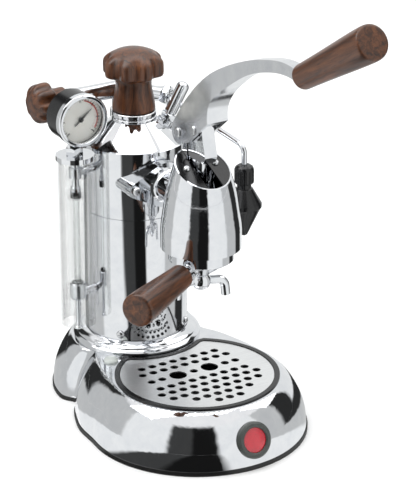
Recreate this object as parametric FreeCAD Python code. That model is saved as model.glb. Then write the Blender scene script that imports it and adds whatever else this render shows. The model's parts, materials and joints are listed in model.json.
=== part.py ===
import FreeCAD, Part
import math
import os

# Lever espresso machine, in millimetres.
# Frame: the boiler's axis is the Z axis and z = 0 is the surface the machine stands on.  The group,
# the lever and the drip tray are at the front, towards -Y; the sight glass is on the -X side.

V = FreeCAD.Vector
UP = V(0, 0, 1)
FRONT = V(0, -1, 0)
PARTS = {}

# ---- clearances ---------------------------------------------------------------------------------
RUN = 0.05              # radial clearance of a running fit
AIR = 0.3               # clearance between pieces that only pass each other

# ---- boiler -------------------------------------------------------------------------------------
BASE_H = 52.0           # top face of the base
BOILER_R = 47.6
BOILER_WALL = 1.8
RIM_Z = 247.4           # where the boiler's side turns into its shoulder
SHOULDER_RISE = 17.6
SHOULDER_Z = RIM_Z + SHOULDER_RISE
SHOULDER_R = 20.8
SLEEVE_T = 0.8
SLEEVE_R = BOILER_R + AIR
SLEEVE_TOP = RIM_Z - 64.9
SLEEVE_SCREW_Z = BASE_H + 17.0
SLEEVE_TURN = -138.0    # direction of the first sleeve screw
FOOT_R = 29.6           # threaded foot that goes down through the base
NECK_R = 14.0
NECK_BORE = 9.3
NECK_RISE = 7.0
COLLAR_R = SLEEVE_R + 11.6
COLLAR_H = 11.0
VENT_R = 1.2
VENT_PITCH = 4.2

# ---- filler cap ---------------------------------------------------------------------------------
CAP_RING_H = 8.0
CAP_STEM_R = 20.0
CAP_WAIST_R = 16.2
CAP_HEAD_R = 28.3
CAP_STEM_H = 32.4
CAP_RIM_H = 11.3
CAP_DOME_H = 14.3
LOBES = 8

# ---- base ---------------------------------------------------------------------------------------
FRONT_Y = -110.0        # centre of the base's front lobe and of the drip tray
FRONT_R = 100.0
SKIRT_IN = 23.0         # how far the rounded side draws in between the trim and the top face
REAR_R = COLLAR_R + 20.5
TRIM_H = 4.0
BASE_WALL = 2.0
PLATE_T = 1.5
POST_R = 5.0
FLANK_FLOOR = ((-96.5, -64), (-89.5, -42), (-82, -27), (-72.5, -12))
FLANK_TOP = ((-69.8, -62), (-64.5, -42), (-60.5, -33), (-56, -23))
SKIRT = ((0, 0), (0.25, 1.5), (0.5, 5.0), (0.708, 10.0), (0.875, 15.5), (1.0, SKIRT_IN))

# ---- drip tray ----------------------------------------------------------------------------------
GRID_R = 70.0
GRID_T = 1.5
TRAY_RIM_R = 75.0
TRAY_RIM_T = 1.2
TRAY_WALL = 1.2
TRAY_DEPTH = 24.0
LEDGE_W = 2.6
HOLE_PITCH = 11.1
HOLE_R = 3.7
BIG_HOLE_R = 8.0

# ---- small fittings of the base -----------------------------------------------------------------
BADGE_Z = 26.5
BADGE_TILT = 19.0
BADGE_RING_R = 16.5
BADGE_R = 11.2
PILOT_TURN = 220.5       # round the boiler, from the right-hand side
PILOT_R = 6.7
PILOT_AT = COLLAR_R + PILOT_R + 4.16
PILOT = V(PILOT_AT * math.cos(math.radians(PILOT_TURN)), PILOT_AT * math.sin(math.radians(PILOT_TURN)), BASE_H)
SWITCH_TURN = 65.0
SWITCH_Z = 21.0
SWITCH_HALF_W = 11.0
SWITCH_HALF_H = 7.0
ROCKER_TILT = 8.0
GLAND_TURN = 113.0
GLAND_Z = 18.0
GLAND_R = 8.0
GLAND_BORE = 3.5

# ---- steam tap ----------------------------------------------------------------------------------
BAR_R = 8.0
BAR_Y = CAP_STEM_R + BAR_R + 1.5
BAR_Z = SHOULDER_Z + 19.0
BAR_LEFT = 48.0
POST_BOSS_R = 7.5
BONNET_L = 7.4
SPINDLE_R = 2.65
STEAM_HEAD_R = 19.0
STEAM_NECK_R = 12.0
WAND_R = 2.6
WAND_PIVOT = V(49.6, BAR_Y - 0.5, BAR_Z - 14.0)
WAND_KNEE = WAND_PIVOT + V(11.6, -120, -16.5)
WAND_END = WAND_PIVOT + V(11.6, -120, -35)
WAND_SWING = 26.0       # turn between the wand and its nut as the machine stands
BALL_R = 6.0
FROTH_R = 9.0
FROTH_BODY_R = 16.2

# ---- safety valve -------------------------------------------------------------------------------
SAFETY_TURN = -17.0
SAFETY_TILT = 27.0
SAFETY_AT = 29.8
SAFETY_R = 6.0
SAFETY_L = 36.0

# ---- sight glass and pressure gauge -------------------------------------------------------------
SIGHT = V(-(BOILER_R + 19.4), -10, 0)
SHIELD_R = 16.0
SHIELD_T = 1.5
SIGHT_TOP = RIM_Z - 6.4
SIGHT_FLANGE_T = 4.5
SIGHT_NUT_H = 7.5
UPPER_ARM_Z = RIM_Z - 19.4
LOWER_ARM_Z = BASE_H + 58.0
SHIELD_LOW = BASE_H + 29.0
ARM_R = 4.0
GLASS_R = 3.3
GLASS_BORE = 2.2
GAUGE = V(SIGHT.x + 1, SIGHT.y - 11.5, SIGHT_TOP + 40.0)
GAUGE_R = 24.5
DIAL_R = 21.3
GAUGE_DEEP = 24.5
NEEDLE_L = 14.9
NEEDLE_TURN = -51.0     # from straight up, as seen from the front

# ---- group --------------------------------------------------------------------------------------
GROUP_Y = -(BOILER_R + 69.4)
FLANGE_Z = RIM_Z - 29.4
FLANGE_Y = -(BOILER_R + 2.4)
FLANGE_T = 7.0
FLANGE_HALF_H = 21.0
EAR_TIP = 38.0
EAR_R = 7.0
EAR_X = 31.0
GROUP_NECK_R = 12.5
BELL_R = 36.0
BELL_WALL = 1.2
BELL_LOW = FLANGE_Z - 37.5
MOUTH_Z = FLANGE_Z + 37.7       # height of the bell's slanting mouth on the group's axis
MOUTH_SLOPE = 25.0
LINER_R = 24.3
LINER_BORE = 22.6
WEB_Z = FLANGE_Z - 26.0
WEB_T = 4.0
CYL_TOP = FLANGE_Z + 14.0
CYL_R = 28.5
COVER_T = 3.5
COVER_PLATE_T = 2.0
SKIRT_R = 34.3
GROOVE_R = 33.0
LEDGE_R = 30.1
LEDGE_LOW = FLANGE_Z - 36.5
LEDGE_TOP = LEDGE_LOW + 2.1
SEAL_T = 3.3

# ---- lever and piston ---------------------------------------------------------------------------
FULCRUM = V(0, GROUP_Y + 21.4, FLANGE_Z + 63.8)
ARM_L = 27.2            # from the fulcrum to the rod pin
ARM_ANGLE = 19.8
LEVER_UP = 35.0
LEVER_DOWN = 58.0
LIFT = 24.2             # piston travel for one radian of lever turn
PIN_R = 3.0
FORK_HALF = 10.5
FORK_GAP = 7.5
CROTCH_R = 47.0
ARM_HALF = 5.5
ROD_R = 5.0
ROD_HEAD_HALF = 6.3
PISTON_R = LINER_BORE - 0.6
PISTON_H = 9.0
PISTON_Z = FLANGE_Z - 10.5
GRIP_AT = V(0, FULCRUM.y - 178.4, FULCRUM.z + 98.9)
GRIP_TILT = 30.0
GRIP_L = 107.0
GRIP_R0 = 11.0
GRIP_R1 = 15.0
TANG_R = 4.0

# ---- portafilter --------------------------------------------------------------------------------
PF_R = 29.5
PF_BORE = 26.0
PF_TOP = FLANGE_Z - 30.3
PF_LOW = FLANGE_Z - 49.5
LUG_H = 3.5
LUG_SPREAD = 28.0
HANDLE_TURN = 212.0     # direction of the handle as the portafilter is first put in
HANDLE_Z = FLANGE_Z - 53.0
HANDLE_AT = 39.0
HANDLE_L = 82.0
HANDLE_R0 = 11.5
HANDLE_R1 = 15.0
HUB_Z = FLANGE_Z - 71.0
HUB_R = 9.0
STUB_R = 5.0
SPOUT_TURN = -17.0
SPOUT_REACH = 22.8
SPOUT_DROP = 15.5
SPOUT_R = 4.2
SPOUT_BORE = 2.8


# ---- small helpers ------------------------------------------------------------------------------
def plan(angle):
    """A unit vector in plan, its angle measured from +X towards +Y."""
    return V(math.cos(math.radians(angle)), math.sin(math.radians(angle)), 0)


def cyl(radius, height, at=V(0, 0, 0), axis=UP):
    return Part.makeCylinder(radius, height, at, axis)


def ring(outer, inner, height, at=V(0, 0, 0), axis=UP):
    return cyl(outer, height, at, axis).cut(cyl(inner, height + 2, at - axis, axis))


def box(low, high):
    size = high - low
    return Part.makeBox(size.x, size.y, size.z, low)


def placed(shape, at, axis=UP):
    """Moves a shape drawn round +Z at the origin so that it stands along an axis at a point."""
    out = shape.copy()
    out.Placement = FreeCAD.Placement(at, FreeCAD.Rotation(UP, axis))
    return out


def turned(points, at=V(0, 0, 0), axis=UP):
    """A solid of revolution; the points are (radius, distance along the axis)."""
    wire = Part.makePolygon([V(r, 0, z) for r, z in points + points[:1]])
    return placed(Part.Face(wire).revolve(V(0, 0, 0), UP, 360), at, axis)


def hexagon(across, height, at=V(0, 0, 0), axis=UP):
    """A hexagonal nut or head with its corners chamfered."""
    corner = across / math.sqrt(3)
    edge = min(across * 0.08, height * 0.2)
    sides = [plan(60 * k) * corner for k in range(7)]
    prism = Part.Face(Part.makePolygon(sides)).extrude(V(0, 0, height))
    chamfer = turned([(0, 0), (across / 2, 0), (corner + 0.1, edge), (corner + 0.1, height - edge),
                      (across / 2, height), (0, height)])
    return placed(prism.common(chamfer), at, axis)


def prism_x(points, low, high):
    """A plate between two x values; the points are (y, z)."""
    wire = Part.makePolygon([V(low, y, z) for y, z in points + points[:1]])
    return Part.Face(wire).extrude(V(high - low, 0, 0))


def joined(first, *others):
    return first.fuse(list(others)).removeSplitter()


def cut(shape, *tools):
    return shape.cut(list(tools))


def pan_screw(shank, head_r, at, axis):
    """A slotted pan-head screw whose head sits on the surface at a point."""
    body = turned([(0, -shank), (1.5, -shank), (1.5, 0.02), (head_r, 0.02), (head_r, 0.7), (head_r * 0.8, 1.9),
                   (head_r * 0.4, 2.5), (0, 2.6)])
    slot = box(V(-0.4, -head_r, 1.7), V(0.4, head_r, 3))
    return placed(body.cut(slot), at, axis)


def around(tool, turns, at=V(0, 0, 0)):
    """Copies of a shape turned about a vertical line."""
    copies = []
    for turn in turns:
        copy = tool.copy()
        copy.rotate(at, UP, turn)
        copies.append(copy)
    return copies


def bent_tube(points, bend, radius):
    """A round rod through straight runs joined by tangent arcs."""
    edges = []
    here = points[0]
    for corner, after in zip(points[1:-1], points[2:]):
        back = (here - corner).normalize()
        ahead = (after - corner).normalize()
        half = back.getAngle(ahead) / 2
        reach = bend / math.tan(half)
        middle_way = (back + ahead).normalize()
        middle = corner + middle_way * (bend / math.sin(half) - bend)
        start, end = corner + back * reach, corner + ahead * reach
        edges.append(Part.LineSegment(here, start).toShape())
        edges.append(Part.Arc(start, middle, end).toShape())
        here = end
    edges.append(Part.LineSegment(here, points[-1]).toShape())
    section = Part.Wire(Part.Circle(points[0], points[1] - points[0], radius).toShape())
    return Part.Wire(edges).makePipeShell([section], True, True)


def scalloped(head, radius, low, high):
    """Cuts shallow hollows between the lobes of a turned head drawn round +Z."""
    hollow_r = radius * 0.42
    away = radius + hollow_r - 2.4
    hollow = cyl(hollow_r, high - low, V(away, 0, low))
    return head.cut(around(hollow, [360 / LOBES * (k + 0.5) for k in range(LOBES)]))


def group_at(z=0.0):
    return V(0, GROUP_Y, z)


def add(name, shape):
    PARTS[name] = shape


# ---- base ---------------------------------------------------------------------------------------
def outline(z, inset):
    """The base's plan at one height, drawn in from the floor outline by an inset."""
    share = inset / SKIRT_IN
    front = FRONT_R - inset
    rear = REAR_R - inset * (REAR_R - COLLAR_R - 1.0) / SKIRT_IN
    leave, meet = plan(172), plan(175)
    points = [V(leave.x * front, FRONT_Y + leave.y * front, z)]
    for floor, top in zip(FLANK_FLOOR, FLANK_TOP):
        points.append(V(floor[0] + (top[0] - floor[0]) * share, floor[1] + (top[1] - floor[1]) * share, z))
    points.append(V(meet.x * rear, meet.y * rear, z))
    mirrored = [V(-p.x, p.y, z) for p in reversed(points)]
    left = Part.BSplineCurve()
    left.interpolate(Points=points, InitialTangent=V(leave.y, -leave.x, 0), FinalTangent=V(meet.y, -meet.x, 0))
    right = Part.BSplineCurve()
    right.interpolate(Points=mirrored, InitialTangent=V(meet.y, meet.x, 0), FinalTangent=V(leave.y, leave.x, 0))
    back = Part.Arc(points[-1], V(0, rear, z), mirrored[0])
    nose = Part.Arc(mirrored[-1], V(0, FRONT_Y - front, z), points[0])
    return Part.Wire([left.toShape(), back.toShape(), right.toShape(), nose.toShape()])


def skirt(wall):
    """The base's rounded body, or the hollow inside it when a wall is given."""
    sections = []
    for share, inset in SKIRT:
        z = TRIM_H + share * (BASE_H - TRIM_H - wall)
        sections.append(outline(z, inset + wall))
    if wall:
        sections[0].translate(V(0, 0, -0.5))
    return Part.makeLoft(sections, True, False)


def slab(low, high, inset):
    return Part.Face(outline(low, inset)).extrude(V(0, 0, high - low))


def post_places():
    front = [V(0, FRONT_Y, 0) + plan(a) * (GRID_R + 14) for a in (-150, -30)]
    return front + [plan(a) * (COLLAR_R + 3) for a in (25, 155)]


def badge_frame():
    tilt = math.radians(BADGE_TILT)
    return V(0, FRONT_Y - FRONT_R + 4.3, BADGE_Z), V(0, -math.cos(tilt), math.sin(tilt))


def switch_block(half_w, half_h, start, end):
    """A block along the switch's outward direction, centred on the switch's height."""
    block = box(V(start, -half_w, SWITCH_Z - half_h), V(end, half_w, SWITCH_Z + half_h))
    block.rotate(V(0, 0, 0), UP, SWITCH_TURN)
    return block


def make_base():
    body = skirt(0)
    shell = body.cut(skirt(BASE_WALL))
    low = TRIM_H + PLATE_T
    posts = [cyl(POST_R, BASE_H - low - 1, p + V(0, 0, low)).common(body) for p in post_places()]
    centre, normal = badge_frame()
    gland = plan(GLAND_TURN)
    tools = [tray_plan(GRID_R + AIR + TRAY_WALL + AIR, tray_back() + 3 - AIR, BASE_H - 12, BASE_H + 5),
             cyl(FOOT_R + 0.4, 20, V(0, 0, BASE_H - 10)),
             cyl(PILOT_R - 2, 20, PILOT - V(0, 0, 12)),
             cyl(BADGE_R + 1.6, 14, centre - normal * 10, normal),
             switch_block(SWITCH_HALF_W + AIR, SWITCH_HALF_H + AIR, REAR_R - 20, REAR_R + 10),
             cyl(GLAND_R - 2.7, 20, gland * (REAR_R - 12) + V(0, 0, GLAND_Z), gland)]
    tools += [cyl(1.5, 8, p + V(0, 0, low - 1)) for p in post_places()]
    add("base_shell", cut(joined(shell, *posts), *tools))
    add("base_trim", slab(0, TRIM_H, -0.8).cut(slab(-1, TRIM_H + 1, BASE_WALL)))
    plate = slab(TRIM_H - PLATE_T, TRIM_H, BASE_WALL + AIR)
    plate = joined(plate, *[cyl(POST_R + 1, PLATE_T, p + V(0, 0, TRIM_H)) for p in post_places()])
    add("base_plate", cut(plate, *[cyl(1.9, 8, p) for p in post_places()]))
    screws = []
    head_z = TRIM_H - PLATE_T
    for p in post_places():
        head = turned([(0, head_z - 1.8), (2.6, head_z - 1.8), (3.4, head_z - 1), (3.4, head_z), (0, head_z)], p)
        screws.append(joined(head, cyl(1.45, PLATE_T * 2 + 5, p + V(0, 0, head_z - 0.5))))
    add("base_screws", Part.makeCompound(screws))
    make_base_fittings(body)


def make_base_fittings(body):
    centre, normal = badge_frame()
    face = turned([(BADGE_R + 0.1, -4), (BADGE_RING_R, -4), (BADGE_RING_R, 2), (BADGE_RING_R - 1.6, 3.4),
                   (BADGE_R + 1.2, 3.4), (BADGE_R + 0.1, 2.6)], centre, normal)
    spigot = ring(BADGE_R + 1.5, BADGE_R + 0.1, 7, centre - normal * 6, normal)
    add("badge_ring", joined(face.cut(body), spigot))
    add("badge_disc", turned([(0, -2), (BADGE_R, -2), (BADGE_R, 1.6), (BADGE_R * 0.6, 2.5), (0, 2.9)], centre, normal))
    add("pilot_light", turned([(0, -6), (PILOT_R - 2.1, -6), (PILOT_R - 2.1, 0), (PILOT_R, 0), (PILOT_R, 1.4),
                               (PILOT_R * 0.8, 2.9), (PILOT_R * 0.45, 3.8), (0, 4.2)], PILOT))
    face_at = REAR_R - 1.2
    flange = switch_block(SWITCH_HALF_W + 1.5, SWITCH_HALF_H + 1.5, face_at - 4, face_at).cut(body)
    block = switch_block(SWITCH_HALF_W, SWITCH_HALF_H, face_at - 16, face_at - 0.5)
    room = switch_block(8.6, 5.0, face_at - 9, face_at + 1)
    across = plan(SWITCH_TURN + 90)
    pivot = plan(SWITCH_TURN) * (face_at - 3.5) + V(0, 0, SWITCH_Z)
    pin = cyl(1.2, 18.4, pivot - across * 9.2, across)
    add("switch_housing", joined(joined(flange, block).cut(room), pin))
    pad = joined(cyl(4.6, 16.6, pivot - across * 8.3, across), switch_block(8.3, 4.1, face_at - 3.5, face_at + 0.8))
    pad = pad.cut(cyl(1.2 + RUN, 20, pivot - across * 10, across))
    pad.rotate(pivot, across, -ROCKER_TILT)
    add("power_rocker", pad)
    out = plan(GLAND_TURN)
    shank = GLAND_R - 3
    at = out * (REAR_R - 2.2) + V(0, 0, GLAND_Z)
    nose = turned([(0, -0.6), (GLAND_R, -0.6), (GLAND_R, 3), (GLAND_R - 1.5, 8), (0, 8)], at, out).cut(body)
    stem = cyl(shank, 8, at - out * 6, out)
    add("cable_gland", joined(nose, stem).cut(cyl(GLAND_BORE, 30, at - out * 10, out)))


# ---- drip tray ----------------------------------------------------------------------------------
def tray_back():
    """Radius of the tray's back edge, round the boiler collar."""
    return COLLAR_R + 1.5


def tray_plan(radius, back, low, high):
    """A disc about the tray's centre with its back cut round the boiler."""
    disc = cyl(radius, high - low, V(0, FRONT_Y, low))
    disc = disc.cut(cyl(back, high - low + 2, V(0, 0, low - 1)))
    return disc.cut(box(V(-radius, -back + 12, low - 1), V(radius, radius, high + 1)))


def grid_holes():
    """Rows of small holes: distance in front of or behind the middle row, and places in pitches."""
    halves = [k + 0.5 for k in range(-5, 5)]
    wholes = list(range(-4, 5))
    row = HOLE_PITCH * 1.03
    rows = [(2 * row + 4.7, halves[1:-1]), (row + 4.7, wholes), (0, (-4, -3, 0, 3, 4)), (-row - 4.7, wholes),
            (-2 * row - 4.7, halves), (-3 * row - 4.7, wholes), (-4 * row - 4.7, halves[2:-2]),
            (-5 * row - 4.7, wholes[3:-3])]
    return [(V(k * HOLE_PITCH, FRONT_Y + 6 + back, 0), HOLE_R) for back, places in rows for k in places]


def make_drip():
    ledge = BASE_H + 0.4 - GRID_T
    back = tray_back()
    bottom = BASE_H - TRAY_DEPTH
    upper = GRID_R + AIR + TRAY_WALL
    well = GRID_R + AIR + TRAY_WALL - LEDGE_W
    rim = tray_plan(TRAY_RIM_R, back, BASE_H, BASE_H + TRAY_RIM_T)
    collar = tray_plan(upper, back + 3, ledge - TRAY_WALL, BASE_H + TRAY_RIM_T)
    tub = tray_plan(well, back + 3 + LEDGE_W, bottom, ledge)
    inside = tray_plan(well - TRAY_WALL, back + 3 + LEDGE_W + TRAY_WALL, bottom + TRAY_WALL, ledge + 1)
    seat = tray_plan(GRID_R + AIR, back + 3 + TRAY_WALL, ledge, BASE_H + 5)
    add("drip_tray", cut(joined(rim, collar, tub), inside, seat))
    grid = tray_plan(GRID_R, back + 3 + TRAY_WALL + AIR, ledge, ledge + GRID_T)
    holes = [cyl(r, GRID_T + 2, at + V(0, 0, ledge - 1)) for at, r in grid_holes()]
    for side in (-1.5, 1.5):
        holes.append(cyl(BIG_HOLE_R, GRID_T + 2, V(side * HOLE_PITCH, FRONT_Y + 6, ledge - 1)))
    add("drip_grid", grid.cut(holes))


# ---- boiler -------------------------------------------------------------------------------------
def rhombus(half_x, half_h, back_y, front_y):
    """A plate square to Y with two ears along X, at the flange's height."""
    thick = back_y - front_y
    middle = V(0, back_y, FLANGE_Z)
    reach = half_x - EAR_R
    lean = math.asin((half_h - EAR_R) / reach)
    s, c = math.sin(lean), math.cos(lean)
    pieces = []
    for side in (-1, 1):
        pieces.append(cyl(EAR_R, thick, middle + V(side * reach, 0, 0), FRONT))
        corners = [(half_h * s, half_h * c), (reach + EAR_R * s, EAR_R * c), (reach + EAR_R * s, -EAR_R * c),
                   (half_h * s, -half_h * c)]
        points = [middle + V(side * x, 0, z) for x, z in corners]
        pieces.append(Part.Face(Part.makePolygon(points + points[:1])).extrude(FRONT * thick))
    return joined(cyl(half_h, thick, middle, FRONT), *pieces)


def safety_frame():
    """Where the safety valve's nut sits, and the valve's direction."""
    tilt = math.radians(SAFETY_TILT)
    out = plan(SAFETY_TURN)
    z = SHOULDER_Z - (SAFETY_AT - SHOULDER_R) * SHOULDER_RISE / (BOILER_R - SHOULDER_R)
    way = out * math.sin(tilt) + UP * math.cos(tilt)
    return out * SAFETY_AT + V(0, 0, z) + way * 2.0, way


def sight_way():
    """From the boiler's axis towards the sight glass."""
    return V(SIGHT.x, SIGHT.y, 0).normalize()


def make_boiler():
    hidden_r = SLEEVE_R - SLEEVE_T - 0.2
    t = BOILER_WALL
    step = SLEEVE_TOP + 0.5
    outer = [(0, BASE_H - 14), (FOOT_R, BASE_H - 14), (FOOT_R, BASE_H), (hidden_r, BASE_H), (hidden_r, step),
             (BOILER_R, step), (BOILER_R, RIM_Z - 1.2), (BOILER_R - 1.2, RIM_Z), (SHOULDER_R, SHOULDER_Z),
             (NECK_R, SHOULDER_Z), (NECK_R, SHOULDER_Z + NECK_RISE), (0, SHOULDER_Z + NECK_RISE)]
    inner = [(0, BASE_H - 15), (FOOT_R - 3.6, BASE_H - 15), (FOOT_R - 3.6, BASE_H + t), (hidden_r - t, BASE_H + t),
             (hidden_r - t, RIM_Z - 2.4), (SHOULDER_R, SHOULDER_Z - t * 1.4), (NECK_BORE, SHOULDER_Z - t * 1.4),
             (NECK_BORE, SHOULDER_Z + NECK_RISE + 1), (0, SHOULDER_Z + NECK_RISE + 1)]
    hollow = turned(inner)
    valve_at, valve_way = safety_frame()
    saddle = rhombus(EAR_TIP - 1, FLANGE_HALF_H - 0.8, -5, FLANGE_Y)
    post_boss = cyl(POST_BOSS_R, SHOULDER_RISE, V(0, BAR_Y, SHOULDER_Z + 1 - SHOULDER_RISE))
    valve_boss = cyl(8.4, 12, valve_at - valve_way * 12, valve_way)
    solid = joined(turned(outer), saddle, post_boss, valve_boss)
    way = sight_way()
    tools = [hollow, cyl(8, 40, V(0, -30, FLANGE_Z), FRONT), cyl(4.1, 40, V(0, BAR_Y, RIM_Z - 6)),
             cyl(3.3, 30, valve_at - valve_way * 22, valve_way)]
    tools += [cyl(2.6, 12, V(side * EAR_X, FLANGE_Y + 11, FLANGE_Z), FRONT) for side in (-1, 1)]
    tools += [cyl(ARM_R - 1, 12, way * (BOILER_R - 8) + V(0, 0, z), way) for z in (UPPER_ARM_Z, LOWER_ARM_Z)]
    add("boiler_shell", cut(solid, *tools))
    nut = hexagon(FOOT_R * 2 + 18, 8, V(0, 0, BASE_H - BASE_WALL - 8))
    add("boiler_nut", nut.cut(cyl(FOOT_R + RUN, 12, V(0, 0, BASE_H - 12))))

    sleeve = ring(SLEEVE_R, SLEEVE_R - SLEEVE_T, SLEEVE_TOP - BASE_H, V(0, 0, BASE_H))
    tools = []
    for quarter in range(4):
        for row in range(4):
            for k in range(9):
                turn = SLEEVE_TURN + 30 + quarter * 90 + (k - 4 + 0.5 * (row % 2)) * 4.8
                at = plan(turn) * (SLEEVE_R - 3) + V(0, 0, SLEEVE_SCREW_Z + 2 + (row + 0.5) * VENT_PITCH)
                tools.append(cyl(VENT_R, 5, at, plan(turn)))
        way_out = plan(SLEEVE_TURN + 90 * quarter)
        tools.append(cyl(1.6, 5, way_out * (SLEEVE_R - 3) + V(0, 0, SLEEVE_SCREW_Z), way_out))
    tools.append(cyl(ARM_R + 1, 12, way * (SLEEVE_R - 5) + V(0, 0, LOWER_ARM_Z), way))
    add("boiler_sleeve", sleeve.cut(tools))
    screw = pan_screw(SLEEVE_T, 3.75, V(SLEEVE_R, 0, SLEEVE_SCREW_Z), V(1, 0, 0))
    add("sleeve_screws", Part.makeCompound(around(screw, [SLEEVE_TURN + 90 * k for k in range(4)])))

    r, z = SLEEVE_R + 0.3, BASE_H
    add("boiler_collar", turned([(r, z), (COLLAR_R, z), (COLLAR_R, z + 3.5), (COLLAR_R - 2, z + 5.5),
                                 (COLLAR_R - 3.2, z + 6), (COLLAR_R - 3.2, z + 7), (COLLAR_R - 5.5, z + 9),
                                 (r + 2, z + COLLAR_H - 0.5), (r, z + COLLAR_H)]))
    low = BASE_H - 14
    plug = turned([(0, low - 3.5), (FOOT_R, low - 3.5), (FOOT_R, low), (FOOT_R - 3.8, low), (FOOT_R - 3.8, low + 3),
                   (0, low + 3)])
    tops = BASE_H + 98
    loops = [bent_tube([V(-14, y, low - 1), V(-14, y, tops), V(14, y, tops), V(14, y, low - 1)], 13.5, 3.6)
             for y in (-10, 10)]
    add("heating_element", joined(plug, *loops))


# ---- filler cap ---------------------------------------------------------------------------------
def make_cap():
    z = SHOULDER_Z
    top = z + CAP_RING_H
    r = SHOULDER_R - 0.3
    add("cap_ring", turned([(NECK_R + 0.1, z), (r, z), (r, z + 2.2), (r - 1, z + 2.8), (r - 1, z + 3.6), (r, z + 4.2),
                            (r, top - 0.8), (r - 0.8, top), (NECK_R + 0.1, top)]))
    flange = z + NECK_RISE
    add("cap_plug", turned([(0, z - 4), (NECK_BORE - RUN, z - 4), (NECK_BORE - RUN, flange), (NECK_R - 0.1, flange),
                            (NECK_R - 0.1, flange + 2.5), (6, flange + 2.5), (6, flange + 22), (0, flange + 22)]))
    low = top + AIR
    neck = low + CAP_STEM_H
    rim = neck + CAP_RIM_H
    apex = rim + CAP_DOME_H
    knob = turned([(0, low), (CAP_STEM_R - 0.6, low), (CAP_STEM_R, low + 0.8), (CAP_WAIST_R + 0.8, neck - 8),
                   (CAP_WAIST_R, neck - 2.5), (CAP_WAIST_R + 1.5, neck - 0.6), (CAP_HEAD_R - 3, neck),
                   (CAP_HEAD_R, neck + 1.6), (CAP_HEAD_R, rim - 1.4), (CAP_HEAD_R - 1.8, rim),
                   (CAP_HEAD_R * 0.86, rim + 3.5), (CAP_HEAD_R * 0.68, rim + 7.6), (CAP_HEAD_R * 0.46, apex - 3.2),
                   (CAP_HEAD_R * 0.22, apex - 0.8), (0, apex)])
    room = turned([(0, low - 1), (NECK_R + AIR, low - 1), (NECK_R + AIR, flange + 2.5), (6 + RUN, flange + 2.5),
                   (6 + RUN, flange + 22), (0, flange + 22)])
    add("cap_knob", scalloped(knob.cut(room), CAP_HEAD_R, neck - 3, apex + 1))


# ---- steam tap ----------------------------------------------------------------------------------
def wand_axis():
    """Direction of the wand's ball nut."""
    run = (WAND_KNEE - WAND_PIVOT).normalize()
    return FreeCAD.Rotation(UP, WAND_SWING).multVec(run)


def make_steam():
    middle = V(0, BAR_Y, BAR_Z)
    left = V(-1, 0, 0)
    right = (WAND_PIVOT - middle).normalize()
    end = middle + left * BAR_LEFT
    nut_way = wand_axis()
    seat = SHOULDER_Z + 1
    pieces = [cyl(BAR_R - 0.8, (WAND_PIVOT - middle).Length - 3, middle, right), Part.makeSphere(BAR_R, middle),
              cyl(5.5, BAR_Z - seat, V(0, BAR_Y, seat)), cyl(4.0, 14, V(0, BAR_Y, seat - 12)),
              Part.makeSphere(BALL_R + 2.4, WAND_PIVOT)]
    pieces.append(turned([(0, -1), (BAR_R - 1, -1), (9, 0), (9, 4.5), (7, BONNET_L), (0, BONNET_L)], end, left))
    bar = joined(cyl(BAR_R, BAR_LEFT, middle, left), *pieces)
    front_half = placed(Part.makeBox(40, 40, 40, V(-20, -20, -0.1)), WAND_PIVOT, nut_way)
    near_nut = Part.makeSphere(BALL_R + 6, WAND_PIVOT)
    bar = cut(bar, front_half.common(near_nut), Part.makeSphere(BALL_R + RUN, WAND_PIVOT),
              cyl(SPINDLE_R + RUN, 30, end + left * (BONNET_L + 1), V(1, 0, 0)),
              cyl(2.2, 18, V(0, BAR_Y, seat - 14)))
    add("steam_bar", bar)
    spindle = cyl(SPINDLE_R, 36, end + V(18, 0, 0), left)
    add("steam_spindle", spindle)
    knob_at = end + left * (BONNET_L + AIR)
    r = STEAM_HEAD_R
    knob = turned([(0, 0), (STEAM_NECK_R - 1, 0), (STEAM_NECK_R, 1), (STEAM_NECK_R - 0.8, 8), (STEAM_NECK_R, 13),
                   (r - 2.5, 14), (r, 16.5), (r, 27), (r - 1.4, 30), (r * 0.72, 33), (r * 0.4, 34.6), (0, 35.2)])
    knob = knob.cut(cyl(SPINDLE_R + RUN, 11.3, V(0, 0, -1)))
    add("steam_knob", placed(scalloped(knob, r, 13.5, 36), knob_at, left))

    nut = hexagon(17, 5.2).cut(turned([(0, 2.9), (5.0, 2.9), (7.2, 5.3), (0, 5.3)]))
    nut = nut.cut([Part.makeSphere(BALL_R + RUN), cyl(5.0, 3, V(0, 0, 1))])
    add("wand_nut", placed(nut, WAND_PIVOT, nut_way))
    run = (WAND_KNEE - WAND_PIVOT).normalize()
    rod = bent_tube([WAND_PIVOT, WAND_KNEE, WAND_END - V(0, 0, 10)], 9, WAND_R)
    bore = bent_tube([WAND_PIVOT - run * 8, WAND_KNEE, WAND_END - V(0, 0, 12)], 9, WAND_R - 1)
    add("steam_wand", joined(rod, Part.makeSphere(BALL_R, WAND_PIVOT)).cut(bore))
    make_frother()


def make_frother():
    at = V(WAND_END.x, WAND_END.y, 0)
    top = WAND_END.z + 1
    neck = top - 17
    low = neck - 4.5
    bore = WAND_R + RUN
    r = FROTH_R
    collar = turned([(bore, neck), (r - 0.8, neck), (r, neck + 1), (r, top - 4), (r - 1, top - 1.6), (r - 3.2, top),
                     (bore, top)], at)
    groove = cyl(0.7, 13.5, at + V(r + 0.2, 0, neck - 0.5))
    add("frother_collar", collar.cut(around(groove, [22.5 * k for k in range(16)], at)))
    wide, tip = low - 16.5, low - 46
    body = turned([(bore, neck), (6.5, neck), (6.5, low), (8, low - 0.8), (FROTH_BODY_R - 0.4, wide + 2.2),
                   (FROTH_BODY_R, wide + 1.6), (FROTH_BODY_R, wide - 1.6), (FROTH_BODY_R - 0.8, wide - 2.4),
                   (3.4, tip + 1.2), (2.2, tip), (1.2, tip), (1.2, neck - 6), (bore, neck - 6)], at)
    add("frother_body", body)


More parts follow.
